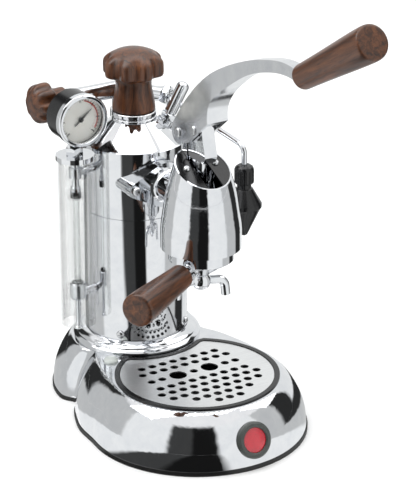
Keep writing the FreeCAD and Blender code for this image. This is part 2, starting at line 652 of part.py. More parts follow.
def make_safety():
    at, way = safety_frame()
    r = SAFETY_R
    body = turned([(0, -7), (3.2, -7), (3.2, 5), (r - 1, 5), (r - 1, 7), (r, 8), (r, SAFETY_L - 2), (r - 0.8, SAFETY_L),
                   (r - 2.6, SAFETY_L + 1.6), (0, SAFETY_L + 2.4)], at, way)
    add("safety_valve", joined(body, hexagon(14, 6, at, way)))


# ---- sight glass and gauge ----------------------------------------------------------------------
def sight_arm(z, radius):
    """An arm from the sight glass's axis to the boiler, with a spigot through the boiler's wall."""
    inward = sight_way() * -1
    reach = V(SIGHT.x, SIGHT.y, 0).Length
    arm = cyl(ARM_R, reach, V(SIGHT.x, SIGHT.y, z), inward).cut(cyl(radius, 30, V(0, 0, z - 15)))
    spigot = cyl(ARM_R - 1.05, reach - radius + 1.6, V(SIGHT.x, SIGHT.y, z), inward)
    return joined(arm, spigot)


def make_sight():
    def at(z):
        return V(SIGHT.x, SIGHT.y, z)
    flange_top = SIGHT_TOP + SIGHT_FLANGE_T
    flange = joined(cyl(SHIELD_R + 1.5, SIGHT_FLANGE_T, at(SIGHT_TOP)), hexagon(14.8, SIGHT_NUT_H, at(flange_top)))
    add("sight_flange", flange.cut(cyl(2.8, SIGHT_FLANGE_T + 3, at(SIGHT_TOP))))
    glass_top = UPPER_ARM_Z - 18
    column = turned([(0, glass_top), (4.6, glass_top), (4.6, glass_top + 4), (3.4, glass_top + 5),
                     (3.4, UPPER_ARM_Z - 6), (5.6, UPPER_ARM_Z - 5), (5.6, UPPER_ARM_Z + 5), (4, UPPER_ARM_Z + 6),
                     (4, SIGHT_TOP), (2.75, SIGHT_TOP), (2.75, flange_top + 2.8), (0, flange_top + 2.8)], at(0))
    add("sight_upper_fitting", joined(column, sight_arm(UPPER_ARM_Z, BOILER_R)))
    cup_low, cup_top = LOWER_ARM_Z - 5, LOWER_ARM_Z + 11
    glass_low = cup_top - 5
    hidden_r = SLEEVE_R - SLEEVE_T - 0.2
    cup = turned([(0, SHIELD_LOW - 3), (2.5, SHIELD_LOW - 3), (2.5, cup_low), (6, cup_low), (7.3, cup_low + 1.4),
                  (7.3, cup_top - 0.8), (6.6, cup_top), (5.2, cup_top), (5.2, glass_low), (0, glass_low)], at(0))
    tap = turned([(0, -3), (3.4, -3), (4.2, -2.2), (4.2, -0.8), (3.2, 0.1), (0, 0.1)], at(SHIELD_LOW - 3))
    add("sight_lower_fitting", joined(cup, tap, sight_arm(LOWER_ARM_Z, hidden_r)))
    add("sight_glass", ring(GLASS_R, GLASS_BORE, glass_top - glass_low, at(glass_low)))
    seals = [ring(4.9, GLASS_R + 0.02, 6, at(glass_top - 6)), ring(5.15, GLASS_R + 0.02, 5.6, at(glass_low))]
    add("sight_seals", Part.makeCompound(seals))
    shell = ring(SHIELD_R, SHIELD_R - SHIELD_T, SIGHT_TOP - SHIELD_LOW, at(SHIELD_LOW))
    mouth = box(V(0, -ARM_R - 4, SHIELD_LOW - 1), V(30, ARM_R + 4, SIGHT_TOP + 1))
    mouth.rotate(V(0, 0, 0), UP, math.degrees(math.atan2(-SIGHT.y, -SIGHT.x)))
    mouth.translate(at(0))
    add("sight_shield", shell.cut(mouth))


def make_gauge():
    deep = GAUGE_DEEP
    case = turned([(0, -deep), (GAUGE_R - 4, -deep), (GAUGE_R - 1.5, -deep + 2.5), (GAUGE_R - 1.5, -0.5),
                   (DIAL_R + 0.2, -0.5), (DIAL_R + 0.2, -2.5), (0, -2.5)], GAUGE, FRONT)
    low = SIGHT_TOP + SIGHT_FLANGE_T + SIGHT_NUT_H
    stem = cyl(4.2, GAUGE.z - low - GAUGE_R + 5, V(SIGHT.x, SIGHT.y, low))
    add("gauge_case", joined(case, stem.cut(cyl(GAUGE_R - 2, deep, GAUGE, FRONT * -1))))
    r = GAUGE_R
    add("gauge_bezel", turned([(r - 1.4, -1.5), (r, -1.5), (r, 4), (r - 1.4, 5.5), (r - 3.6, 5.5), (r - 4.4, 4.2),
                               (r - 4.4, 3.2), (DIAL_R + 0.2, 3.2), (DIAL_R + 0.2, -0.4), (r - 1.4, -0.4)],
                              GAUGE, FRONT))
    add("gauge_dial", ring(DIAL_R, 1.7, 0.8, GAUGE - FRONT * 2.5, FRONT))
    add("gauge_glass", cyl(DIAL_R, 1.6, GAUGE + FRONT * 1.5, FRONT))
    hub = joined(cyl(1.6, 1.9, V(0, 0, -2.3)), cyl(2.4, 0.9, V(0, 0, -0.6)))
    points = [V(-0.45, -8, -0.6), V(0.45, -8, -0.6), V(1.1, 3, -0.6), V(0, NEEDLE_L, -0.6), V(-1.1, 3, -0.6)]
    blade = Part.Face(Part.makePolygon(points + points[:1])).extrude(V(0, 0, 0.5))
    needle = joined(hub, blade)
    needle.rotate(V(0, 0, 0), UP, NEEDLE_TURN)
    needle.rotate(V(0, 0, 0), V(1, 0, 0), 90)
    needle.translate(GAUGE)
    add("gauge_needle", needle)


# ---- group --------------------------------------------------------------------------------------
def bell_solid(shrink, low):
    """The bell's outside, or the same shape drawn in, down to a height."""
    f = FLANGE_Z
    side = [(BELL_R, f - 23), (BELL_R - 1.6, f - 7), (BELL_R - 5.7, f + 17), (BELL_R - 11.6, f + 38),
            (BELL_R - 15.4, f + 54)]
    curve = Part.BSplineCurve()
    curve.interpolate(Points=[V(r - shrink, 0, z) for r, z in side], InitialTangent=V(0, 0, 1),
                      FinalTangent=V(-0.22, 0, 1))
    foot, top = V(BELL_R - shrink, 0, low), V(side[-1][0] - shrink, 0, side[-1][1])
    edges = [Part.LineSegment(V(0, 0, low), foot).toShape(),
             Part.LineSegment(foot, V(foot.x, 0, side[0][1])).toShape(), curve.toShape(),
             Part.LineSegment(top, V(0, 0, top.z)).toShape(),
             Part.LineSegment(V(0, 0, top.z), V(0, 0, low)).toShape()]
    return placed(Part.Face(Part.Wire(edges)).revolve(V(0, 0, 0), UP, 360), group_at())


def above_mouth(drop, thick=90.0):
    """The space above a plane parallel to the bell's slanting mouth, a drop below it."""
    block = Part.makeBox(120, 160, thick, V(-60, -80, 0))
    block.rotate(V(0, 0, 0), V(1, 0, 0), MOUTH_SLOPE)
    block.translate(group_at(MOUTH_Z - drop))
    return block


def make_group():
    face_y = FLANGE_Y
    front_y = face_y - FLANGE_T
    plate = rhombus(EAR_TIP, FLANGE_HALF_H, face_y, front_y)
    flare = turned([(0, 0), (GROUP_NECK_R + 4, 0), (GROUP_NECK_R + 1.2, 2.2), (GROUP_NECK_R, 5.5), (0, 5.5)],
                   V(0, front_y, FLANGE_Z), FRONT)
    neck = cyl(GROUP_NECK_R, face_y - GROUP_Y - CYL_R + 6, V(0, face_y - 1, FLANGE_Z), FRONT)
    barrel = cyl(CYL_R, CYL_TOP - WEB_Z, group_at(WEB_Z))
    lower = cyl(SKIRT_R, WEB_Z + WEB_T - LEDGE_LOW, group_at(LEDGE_LOW))
    casting = joined(plate, flare, neck, barrel, lower)
    gaps = [lug(LEDGE_R - 1, GROOVE_R, LEDGE_LOW - 1, LEDGE_TOP + 1, LUG_SPREAD + 6, turn) for turn in lug_turns()]
    water = cyl(7, face_y - GROUP_Y - CYL_R + 12, V(0, face_y + 2, FLANGE_Z), FRONT)
    bolts_way = [cyl(3.0, 20, V(side * EAR_X, face_y + 3, FLANGE_Z), FRONT) for side in (-1, 1)]
    casting = cut(casting, cyl(LINER_R + RUN, 80, group_at(WEB_Z - 5)), cyl(LEDGE_R, 30, group_at(WEB_Z - 30)),
                  cyl(GROOVE_R, WEB_Z - LEDGE_TOP, group_at(LEDGE_TOP)), water, *gaps, *bolts_way)
    add("group_casting", casting)
    bolts = []
    for side in (-1, 1):
        face = V(side * EAR_X, front_y, FLANGE_Z)
        head = turned([(0, 0), (4.2, 0), (4.2, 1.6), (3.2, 3.2), (0, 3.6)], face, FRONT).cut(
            hexagon(4, 3, face + FRONT * 1.4, FRONT))
        bolts.append(joined(head, cyl(2.5, FLANGE_T + 9, face + FRONT * 0.5, V(0, 1, 0))))
    add("group_bolts", Part.makeCompound(bolts))
    shell = cut(bell_solid(0, BELL_LOW), bell_solid(BELL_WALL, BELL_LOW - 1), above_mouth(0),
                cyl(GROUP_NECK_R + 0.2, 60, V(0, GROUP_Y + 60, FLANGE_Z), FRONT))
    add("group_bell", shell)
    liner = ring(LINER_R, LINER_BORE, CYL_TOP - LEDGE_LOW - 0.5, group_at(LEDGE_LOW + 0.5))
    inlet = cyl(4, 30, V(0, GROUP_Y + 40, FLANGE_Z + 4), FRONT)
    add("group_liner", liner.cut(inlet))
    screen_z = LEDGE_LOW - 1.3
    screen = cyl(LINER_R, 1.8, group_at(screen_z))
    sieve = []
    for row in range(1, 5):
        hole = cyl(0.8, 4, group_at(screen_z - 1) + V(4.8 * row, 0, 0))
        sieve += around(hole, [60 * k + 30 * (row % 2) for k in range(6)], group_at())
    add("shower_screen", screen.cut(sieve))
    add("portafilter_seal", ring(LEDGE_R - 0.1, LINER_R + 0.3, SEAL_T, group_at(WEB_Z - SEAL_T)))


def lug_turns():
    return HANDLE_TURN - 90, HANDLE_TURN + 90


def lug(inner, outer, low, high, spread, turn):
    """An arc-shaped lug, or the gap that lets it in."""
    body = Part.makeCylinder(outer, high - low, V(0, 0, low), UP, spread)
    body = body.cut(cyl(inner, high - low + 2, V(0, 0, low - 1)))
    body.rotate(V(0, 0, 0), UP, turn - spread / 2)
    body.translate(group_at())
    return body


def lug_back():
    """The y values of the yoke's upright, behind the piston rod's head."""
    return FULCRUM.y - 9.4, FULCRUM.y - 2.0


def make_yoke():
    front_y, back_y = lug_back()
    half = FORK_GAP - AIR
    disc = cyl(CYL_R - 1.5, COVER_T, group_at(CYL_TOP))
    upright = box(V(-half, front_y, CYL_TOP + 1), V(half, back_y, FULCRUM.z))
    boss = cyl(8, 2 * half, V(-half, FULCRUM.y, FULCRUM.z), V(1, 0, 0))
    foot = box(V(-half - 4, front_y, CYL_TOP + 1), V(half + 4, back_y, CYL_TOP + 10))
    rod_way = cyl(ROD_R + AIR, 30, group_at(CYL_TOP - 5))
    head_way = box(V(-30, GROUP_Y - 25, CYL_TOP + COVER_T), V(30, front_y, FULCRUM.z + 20))
    pin_way = cyl(PIN_R + RUN, 60, V(-30, FULCRUM.y, FULCRUM.z), V(1, 0, 0))
    yoke = cut(joined(disc, upright, boss, foot), rod_way, head_way, pin_way)
    ends = FORK_HALF + AIR
    pin = cyl(PIN_R, 2 * ends, V(-ends, FULCRUM.y, FULCRUM.z), V(1, 0, 0))
    caps = [turned([(0, 0), (4.6, 0), (4.6, 0.7), (3.6, 1.6), (0, 1.6)], V(side * ends, FULCRUM.y, FULCRUM.z),
                   V(side, 0, 0)) for side in (-1, 1)]
    add("fulcrum_pin", joined(pin, *caps))
    cover = above_mouth(COVER_PLATE_T + 0.5).common(bell_solid(BELL_WALL + AIR, BELL_LOW)).cut(above_mouth(0.5))
    slot = box(V(-FORK_GAP - 0.1, GROUP_Y - 60, BELL_LOW), V(FORK_GAP + 0.1, back_y + 0.4, FULCRUM.z + 60))
    slope = FreeCAD.Rotation(V(1, 0, 0), MOUTH_SLOPE).multVec(UP)
    seats, screws, posts = [], [], []
    for side in (-1, 1):
        at = group_at(MOUTH_Z - 0.5) + V(side * 14.5, 0, 0)
        seats.append(cyl(1.6, 12, at - slope * 11, slope))
        screws.append(pan_screw(10.0, 3.2, at, slope))
        posts.append(cyl(3.2, 40, at - slope * COVER_PLATE_T, slope * -1))
    add("bell_cover", cut(cover, slot, *seats))
    add("cover_screws", Part.makeCompound(screws))
    posts = [post.cut(cyl(60, 80, group_at(CYL_TOP + 0.5 - 80))) for post in posts]
    add("group_yoke", cut(joined(yoke, *posts), *seats))


# ---- lever --------------------------------------------------------------------------------------
def rod_pin():
    a = math.radians(ARM_ANGLE)
    return FULCRUM + V(0, -ARM_L * math.cos(a), ARM_L * math.sin(a))


def grip_way():
    tilt = math.radians(GRIP_TILT)
    return V(0, -math.cos(tilt), math.sin(tilt))


def lever_side():
    """The lever's side view as a face, from points given from the fulcrum."""
    top = [(8, 7.2), (-22.4, 43.2), (-51.8, 67.2), (-77.4, 81.7), (-102.4, 92.2), (-132.4, 101.2), (-151.4, 105),
           (-173, 104.6)]
    under = [(-173, 95.0), (-151.4, 94.6), (-132.4, 90.4), (-102.4, 79.2), (-77.4, 63.2), (-59.4, 49.2),
             (-51.8, 39.9), (-49, 21.7)]
    def point(pair):
        return FULCRUM + V(0, pair[0], pair[1])
    upper, lower = Part.BSplineCurve(), Part.BSplineCurve()
    upper.interpolate([point(p) for p in top])
    lower.interpolate([point(p) for p in under])
    toe, heel = point((-16.8, -4.4)), point((-7, -8.4))
    edges = [upper.toShape(), Part.LineSegment(point(top[-1]), point(under[0])).toShape(), lower.toShape(),
             Part.LineSegment(point(under[-1]), toe).toShape(), Part.LineSegment(toe, heel).toShape(),
             Part.Arc(heel, point((7.6, -7.6)), point(top[0])).toShape()]
    return Part.Face(Part.Wire(edges))


def make_lever():
    side = lever_side().extrude(V(2 * FORK_HALF, 0, 0))
    side.translate(V(-FORK_HALF, 0, 0))
    y = FULCRUM.y
    low = FULCRUM.z - 40
    half = [(FORK_HALF, y + 20), (FORK_HALF, y - 55), (FORK_HALF - 1.6, y - 70), (ARM_HALF + 0.8, y - 92),
            (ARM_HALF, y - 108), (ARM_HALF, y - 180)]
    points = [V(x, yy, low) for x, yy in half] + [V(-x, yy, low) for x, yy in reversed(half)]
    above = Part.Face(Part.makePolygon(points + points[:1])).extrude(V(0, 0, 200))
    gap = cyl(CROTCH_R, 2 * FORK_GAP, V(-FORK_GAP, FULCRUM.y, FULCRUM.z), V(1, 0, 0))
    way = grip_way()
    tang = cyl(TANG_R, 30, GRIP_AT - way * 8, way)
    shoulder = turned([(0, -7), (5, -7), (7.5, -2.5), (7.5, -0.05), (0, -0.05)], GRIP_AT, way)
    pin = rod_pin()
    holes = [cyl(PIN_R + RUN, 60, V(-30, p.y, p.z), V(1, 0, 0)) for p in (FULCRUM, pin)]
    add("lever_arm", cut(joined(side.common(above).cut(gap), tang, shoulder), *holes))
    r0, r1, length = GRIP_R0, GRIP_R1, GRIP_L
    grip = turned([(0, 0), (r0 - 1, 0), (r0, 1), (r0 + 1, 25), (r1 - 1.2, 68), (r1, length - 12), (r1, length - 3),
                   (r1 - 1.6, length - 0.8), (r1 * 0.6, length), (0, length + 0.4)], GRIP_AT, way)
    add("lever_grip", grip.cut(cyl(TANG_R + RUN, 24, GRIP_AT - way, way)))
    rod = cyl(PIN_R, 2 * FORK_HALF, V(-FORK_HALF, pin.y, pin.z), V(1, 0, 0))
    caps = [turned([(0, 0), (4.6, 0), (4.6, 0.7), (3.6, 1.6), (0, 1.6)], V(s * FORK_HALF, pin.y, pin.z), V(s, 0, 0))
            for s in (-1, 1)]
    add("rod_pin", joined(rod, *caps))


def make_piston():
    """The rod's slotted head takes the pin's sideways travel as the lever swings."""
    pin = rod_pin()
    sweep = [math.radians(ARM_ANGLE + t) for t in (-LEVER_DOWN, 0, LEVER_UP)]
    far = FULCRUM.y - ARM_L - PIN_R - AIR
    near = FULCRUM.y - ARM_L * math.cos(sweep[2]) + PIN_R + AIR
    slip = max(LIFT * t - ARM_L * (math.sin(math.radians(ARM_ANGLE) + t) - math.sin(sweep[1]))
               for t in (math.radians(-LEVER_DOWN), math.radians(-47), math.radians(LEVER_UP)))
    slot = box(V(-30, far, pin.z - PIN_R - slip - AIR), V(30, near, pin.z + PIN_R + AIR + 0.2))
    low, top = pin.z - 29, pin.z + 8
    back = near + 2.2
    head = prism_x([(back, low + 3), (back, top - 3), (back - 3, top), (far - 1, top), (far - 3.4, pin.z - 4),
                    (far - 8, low + 6), (far - 5, low), (back - 3, low)], -ROD_HEAD_HALF, ROD_HEAD_HALF)
    rod = cyl(ROD_R, low + 2 - PISTON_Z - 2, group_at(PISTON_Z + 2))
    add("piston_rod", joined(head, rod).cut(slot))
    body = cyl(PISTON_R, PISTON_H, group_at(PISTON_Z))
    lifts = (1.4, 5.6)
    grooves = [ring(PISTON_R + 1, PISTON_R - 2.4, 2.0, group_at(PISTON_Z + lift)) for lift in lifts]
    add("piston", cut(body, cyl(ROD_R + RUN, 20, group_at(PISTON_Z + 2)), *grooves))
    seals = [ring(LINER_BORE - RUN, PISTON_R - 2.3, 1.9, group_at(PISTON_Z + lift + RUN)) for lift in lifts]
    add("piston_seals", Part.makeCompound(seals))


# ---- portafilter --------------------------------------------------------------------------------
def make_portafilter():
    stub_z = HUB_Z + 3
    seat_z = HUB_Z + HUB_R - 1
    body = turned([(0, stub_z), (STUB_R, stub_z), (STUB_R, seat_z), (HUB_R, seat_z), (HUB_R + 3, seat_z + 2.4),
                   (PF_R - 5, PF_LOW - 2.6), (PF_R - 0.8, PF_LOW), (PF_R, PF_LOW + 0.8), (PF_R, PF_TOP), (0, PF_TOP)],
                  group_at())
    way = plan(HANDLE_TURN)
    at = group_at(HANDLE_Z)
    neck = turned([(0, 18), (7.2, 18), (6, 25), (6.2, 34), (8.8, HANDLE_AT - 2.6), (8.8, HANDLE_AT - 0.05),
                   (0, HANDLE_AT - 0.05)], at, way)
    tang = cyl(TANG_R, 24, at + way * (HANDLE_AT - 2), way)
    lugs = [lug(PF_R - 1, GROOVE_R - 0.4, LEDGE_TOP + 0.4, LEDGE_TOP + 0.4 + LUG_H, LUG_SPREAD, turn)
            for turn in lug_turns()]
    floor = PF_LOW + 1.5
    cavity = turned([(0, floor - 8.5), (6, floor - 8.5), (PF_BORE, floor), (PF_BORE, PF_TOP + 1), (0, PF_TOP + 1)],
                    group_at())
    drain = cyl(2.4, 40, group_at(stub_z - 1))
    add("portafilter_body", cut(joined(body, neck, tang, *lugs), cavity, drain))
    r = PF_BORE - 0.3
    basket = turned([(0, floor + 0.2), (r - 3.5, floor + 0.2), (r, floor + 7), (r, PF_TOP), (r + 2.9, PF_TOP),
                     (r + 2.9, PF_TOP + 0.8), (r - 0.7, PF_TOP + 0.8), (r - 0.7, floor + 7.4), (r - 4, floor + 1),
                     (0, floor + 1)], group_at())
    sieve = []
    for row in range(1, 5):
        hole = cyl(0.7, 4, group_at(floor - 1) + V(4.6 * row, 0, 0))
        sieve += around(hole, [60 * k + 30 * (row % 2) for k in range(6)], group_at())
    add("filter_basket", basket.cut(sieve))
    r0, r1, length = HANDLE_R0, HANDLE_R1, HANDLE_L
    handle = turned([(0, 0), (r0 - 1, 0), (r0, 1), (r0 + 0.8, 20), (r1 - 0.8, 52), (r1, length - 10), (r1, length - 3),
                     (r1 - 1.6, length - 0.8), (r1 * 0.6, length), (0, length + 0.4)], at + way * HANDLE_AT, way)
    add("portafilter_handle", handle.cut(cyl(TANG_R + RUN, 24, at + way * (HANDLE_AT - 1), way)))

    hub = Part.makeSphere(HUB_R, group_at(HUB_Z))
    arms, bores = [], []
    for turn in (SPOUT_TURN, SPOUT_TURN + 180):
        out = plan(turn)
        start = group_at(HUB_Z)
        knee = start + out * (SPOUT_REACH - 1.5) - V(0, 0, 1)
        end = group_at(HUB_Z - SPOUT_DROP) + out * SPOUT_REACH
        arms.append(bent_tube([start, knee, end], 7, SPOUT_R))
        bores.append(bent_tube([start, knee, end - V(0, 0, 1)], 7, SPOUT_BORE))
    socket = cyl(STUB_R + RUN, 10, group_at(stub_z - 0.1))
    lid = box(V(-20, GROUP_Y - 20, seat_z), V(20, GROUP_Y + 20, seat_z + 10))
    add("spouts", cut(joined(hub, *arms), socket, lid, *bores))


def main():
    os.makedirs("parts", exist_ok=True)
    for make in (make_base, make_drip, make_boiler, make_cap, make_steam, make_safety, make_sight, make_gauge,
                 make_group, make_yoke, make_lever, make_piston, make_portafilter):
        make()
    for name, shape in PARTS.items():
        shape.exportStep("parts/%s.step" % name)
        print(name, len(shape.Solids), shape.isValid(), round(shape.Volume))


main()
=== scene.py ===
"""Looks of a lever espresso machine: its finishes, turned wooden grips, dial print and studio."""

import json
import logging
import math
from dataclasses import dataclass
from enum import Enum

import bpy
from mathutils import Matrix, Vector

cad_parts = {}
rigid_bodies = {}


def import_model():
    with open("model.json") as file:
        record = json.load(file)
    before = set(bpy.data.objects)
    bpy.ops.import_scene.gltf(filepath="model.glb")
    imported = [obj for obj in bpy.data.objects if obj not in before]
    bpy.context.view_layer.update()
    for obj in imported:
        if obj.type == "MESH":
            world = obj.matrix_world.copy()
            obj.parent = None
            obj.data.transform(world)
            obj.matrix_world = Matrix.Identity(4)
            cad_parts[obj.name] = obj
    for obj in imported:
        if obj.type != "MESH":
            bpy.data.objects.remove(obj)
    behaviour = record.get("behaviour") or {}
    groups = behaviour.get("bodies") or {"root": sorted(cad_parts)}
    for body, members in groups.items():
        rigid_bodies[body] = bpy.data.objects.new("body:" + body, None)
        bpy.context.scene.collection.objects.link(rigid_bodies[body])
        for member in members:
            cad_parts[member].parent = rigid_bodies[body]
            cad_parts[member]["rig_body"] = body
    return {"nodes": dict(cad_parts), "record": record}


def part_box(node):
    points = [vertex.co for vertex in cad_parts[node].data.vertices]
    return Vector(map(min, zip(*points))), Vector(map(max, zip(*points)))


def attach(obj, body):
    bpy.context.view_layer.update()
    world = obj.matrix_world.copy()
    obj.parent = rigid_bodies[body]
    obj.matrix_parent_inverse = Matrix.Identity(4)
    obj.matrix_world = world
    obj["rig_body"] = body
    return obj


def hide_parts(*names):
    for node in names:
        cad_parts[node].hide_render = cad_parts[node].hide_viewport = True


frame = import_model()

LOG = logging.getLogger("espresso_machine")
SLOT_OF: dict[str, str] = {p["node"]: p["material_slot"] for p in frame["record"]["subparts"]}
MM = 0.001


class Way(Enum):
    """Directions that a turned grip can point in."""

    UP = (0.0, 0.0, 1.0)
    LEFT = (-1.0, 0.0, 0.0)
    LEVER = (0.0, -0.866025, 0.5)
    HANDLE = (-0.848048, -0.529919, 0.0)

    def vector(self) -> Vector:
        """The direction as a unit vector."""
        return Vector(self.value).normalized()


# ---- small helpers ------------------------------------------------------------------------------
def linear(code: str) -> tuple[float, float, float, float]:
    """Turns an sRGB hex colour to linear.

    Args:
        code: six hex digits.

    Returns:
        Linear red, green and blue, and 1.
    """
    out = []
    for start in (0, 2, 4):
        value = int(code[start:start + 2], 16) / 255
        out.append(value / 12.92 if value <= 0.04045 else ((value + 0.055) / 1.055) ** 2.4)
    return (out[0], out[1], out[2], 1.0)


def add_node(tree: bpy.types.NodeTree, kind: str, settings: dict | None = None,
             values: dict | None = None, links: dict | None = None) -> bpy.types.Node:
    """Adds a node with its settings, input values and links.

    Args:
        tree: the node tree.
        kind: the node's type name.
        settings: attributes of the node.
        values: input name or index to value.
        links: input name or index to the output socket that feeds it.

    Returns:
        The new node.
    """
    node = tree.nodes.new(kind)
    for key, value in (settings or {}).items():
        setattr(node, key, value)
    for key, value in (values or {}).items():
        node.inputs[key].default_value = value
    for key, socket in (links or {}).items():
        tree.links.new(socket, node.inputs[key])
    return node


def set_ramp(node: bpy.types.Node, stops: list[tuple[float, tuple]]) -> None:
    """Gives a Color Ramp its stops.

    Args:
        node: the Color Ramp node.
        stops: (position, linear colour) from left to right.
    """
    elements = node.color_ramp.elements
    while len(elements) < len(stops):
        elements.new(1.0)
    for element, (place, colour) in zip(elements, stops):
        element.position = place
        element.color = colour


def select_only(piece: bpy.types.Object) -> None:
    """Selects one object and makes it active."""
    bpy.ops.object.select_all(action="DESELECT")
    piece.select_set(True)
    bpy.context.view_layer.objects.active = piece


def apply_modifier(piece: bpy.types.Object, kind: str, **settings: object) -> None:
    """Adds a modifier with its settings and applies it.

    Args:
        piece: the object.
        kind: the modifier's type.
        settings: its attributes.
    """
    select_only(piece)
    modifier = piece.modifiers.new(kind.lower(), kind)
    for key, value in settings.items():
        setattr(modifier, key, value)
    bpy.ops.object.modifier_apply(modifier=modifier.name)


def settle(piece: bpy.types.Object) -> None:
    """Puts a piece's place into its mesh, so that its object sits unturned at the origin."""
    select_only(piece)
    bpy.ops.object.transform_apply(location=True, rotation=True, scale=True)


def smooth(piece: bpy.types.Object, degrees: float = 34.0) -> None:
    """Shades a piece smooth up to an angle between faces."""
    select_only(piece)
    bpy.ops.object.shade_smooth_by_angle(angle=math.radians(degrees))


# ---- finishes -----------------------------------------------------------------------------------
@dataclass(frozen=True)
class Finish:
    """A named material, built once."""

    name: str = "finish"

    def material(self) -> bpy.types.Material:
        """Builds the material, or returns the one already built."""
        found = bpy.data.materials.get(self.name)
        if found and found.get("finished"):
            return found
        made = bpy.data.materials.new(self.name)
        made.use_nodes = True
        made["finished"] = True
        tree = made.node_tree
        shader = tree.nodes["Principled BSDF"]
        coords = add_node(tree, "ShaderNodeTexCoord").outputs["Object"]
        self.paint(tree, shader, coords)
        return made

    def paint(self, tree: bpy.types.NodeTree, shader: bpy.types.Node, coords: bpy.types.NodeSocket) -> None:
        """Sets the shader and adds the finish's own pattern."""
        raise NotImplementedError


@dataclass(frozen=True)
class Chrome(Finish):
    """Bright chrome plate on polished brass and steel: mirror-like, with faint wipe marks."""

    name: str = "polished_chrome_plate"
    low: float = 0.03
    high: float = 0.085
    smear: float = 14 * MM

    def paint(self, tree: bpy.types.NodeTree, shader: bpy.types.Node, coords: bpy.types.NodeSocket) -> None:
        """Mirror metal whose gloss varies where it was wiped."""
        shader.inputs["Metallic"].default_value = 1.0
        wipe = add_node(tree, "ShaderNodeTexNoise", None,
                        {"Scale": 1 / (self.smear), "Detail": 5.0, "Roughness": 0.6, "Distortion": 0.4},
                        {"Vector": coords})
        rough = add_node(tree, "ShaderNodeMapRange", None,
                         {"From Min": 0.35, "From Max": 0.7, "To Min": self.low, "To Max": self.high},
                         {"Value": wipe.outputs["Fac"]})
        tint = add_node(tree, "ShaderNodeValToRGB", None, None, {"Fac": wipe.outputs["Fac"]})
        set_ramp(tint, [(0.3, linear("E9EAEC")), (0.75, linear("DDDFE3"))])
        ripple = add_node(tree, "ShaderNodeTexNoise", None,
                        {"Scale": 1 / (22 * MM), "Detail": 1.0, "Roughness": 0.55, "Distortion": 0.0},
                        {"Vector": coords})
        bump = add_node(tree, "ShaderNodeBump", None, {"Strength": 0.05, "Distance": 0.0006},
                        {"Height": ripple.outputs["Fac"]})
        tree.links.new(rough.outputs["Result"], shader.inputs["Roughness"])
        tree.links.new(tint.outputs["Color"], shader.inputs["Base Color"])
        tree.links.new(bump.outputs["Normal"], shader.inputs["Normal"])


@dataclass(frozen=True)
class Steel(Finish):
    """Stainless steel sheet and turned steel: fine grain left by the belt and the lathe."""

    name: str = "satin_stainless_steel"
    shade: str = "C9CACC"
    rough: float = 0.24

    def paint(self, tree: bpy.types.NodeTree, shader: bpy.types.Node, coords: bpy.types.NodeSocket) -> None:
        """Grain 0.4 mm wide and 25 mm long along X, drawn coarser than the real grain so that it shows."""
        shader.inputs["Metallic"].default_value = 1.0
        long = add_node(tree, "ShaderNodeMapping", None, {"Scale": (0.04, 2.5, 2.5)}, {"Vector": coords})
        grain = add_node(tree, "ShaderNodeTexNoise", None,
                        {"Scale": 1 / (1 * MM), "Detail": 3.0, "Roughness": 0.6, "Distortion": 0.0},
                        {"Vector": long.outputs["Vector"]})
        rough = add_node(tree, "ShaderNodeMapRange", None,
                         {"To Min": self.rough - 0.08, "To Max": self.rough + 0.08}, {"Value": grain.outputs["Fac"]})
        tint = add_node(tree, "ShaderNodeValToRGB", None, None, {"Fac": grain.outputs["Fac"]})
        set_ramp(tint, [(0.35, linear(self.shade)), (0.7, linear("DEDFE0"))])
        bump = add_node(tree, "ShaderNodeBump", None, {"Strength": 0.08, "Distance": 0.0001},
                        {"Height": grain.outputs["Fac"]})
        tree.links.new(rough.outputs["Result"], shader.inputs["Roughness"])
        tree.links.new(tint.outputs["Color"], shader.inputs["Base Color"])
        tree.links.new(bump.outputs["Normal"], shader.inputs["Normal"])


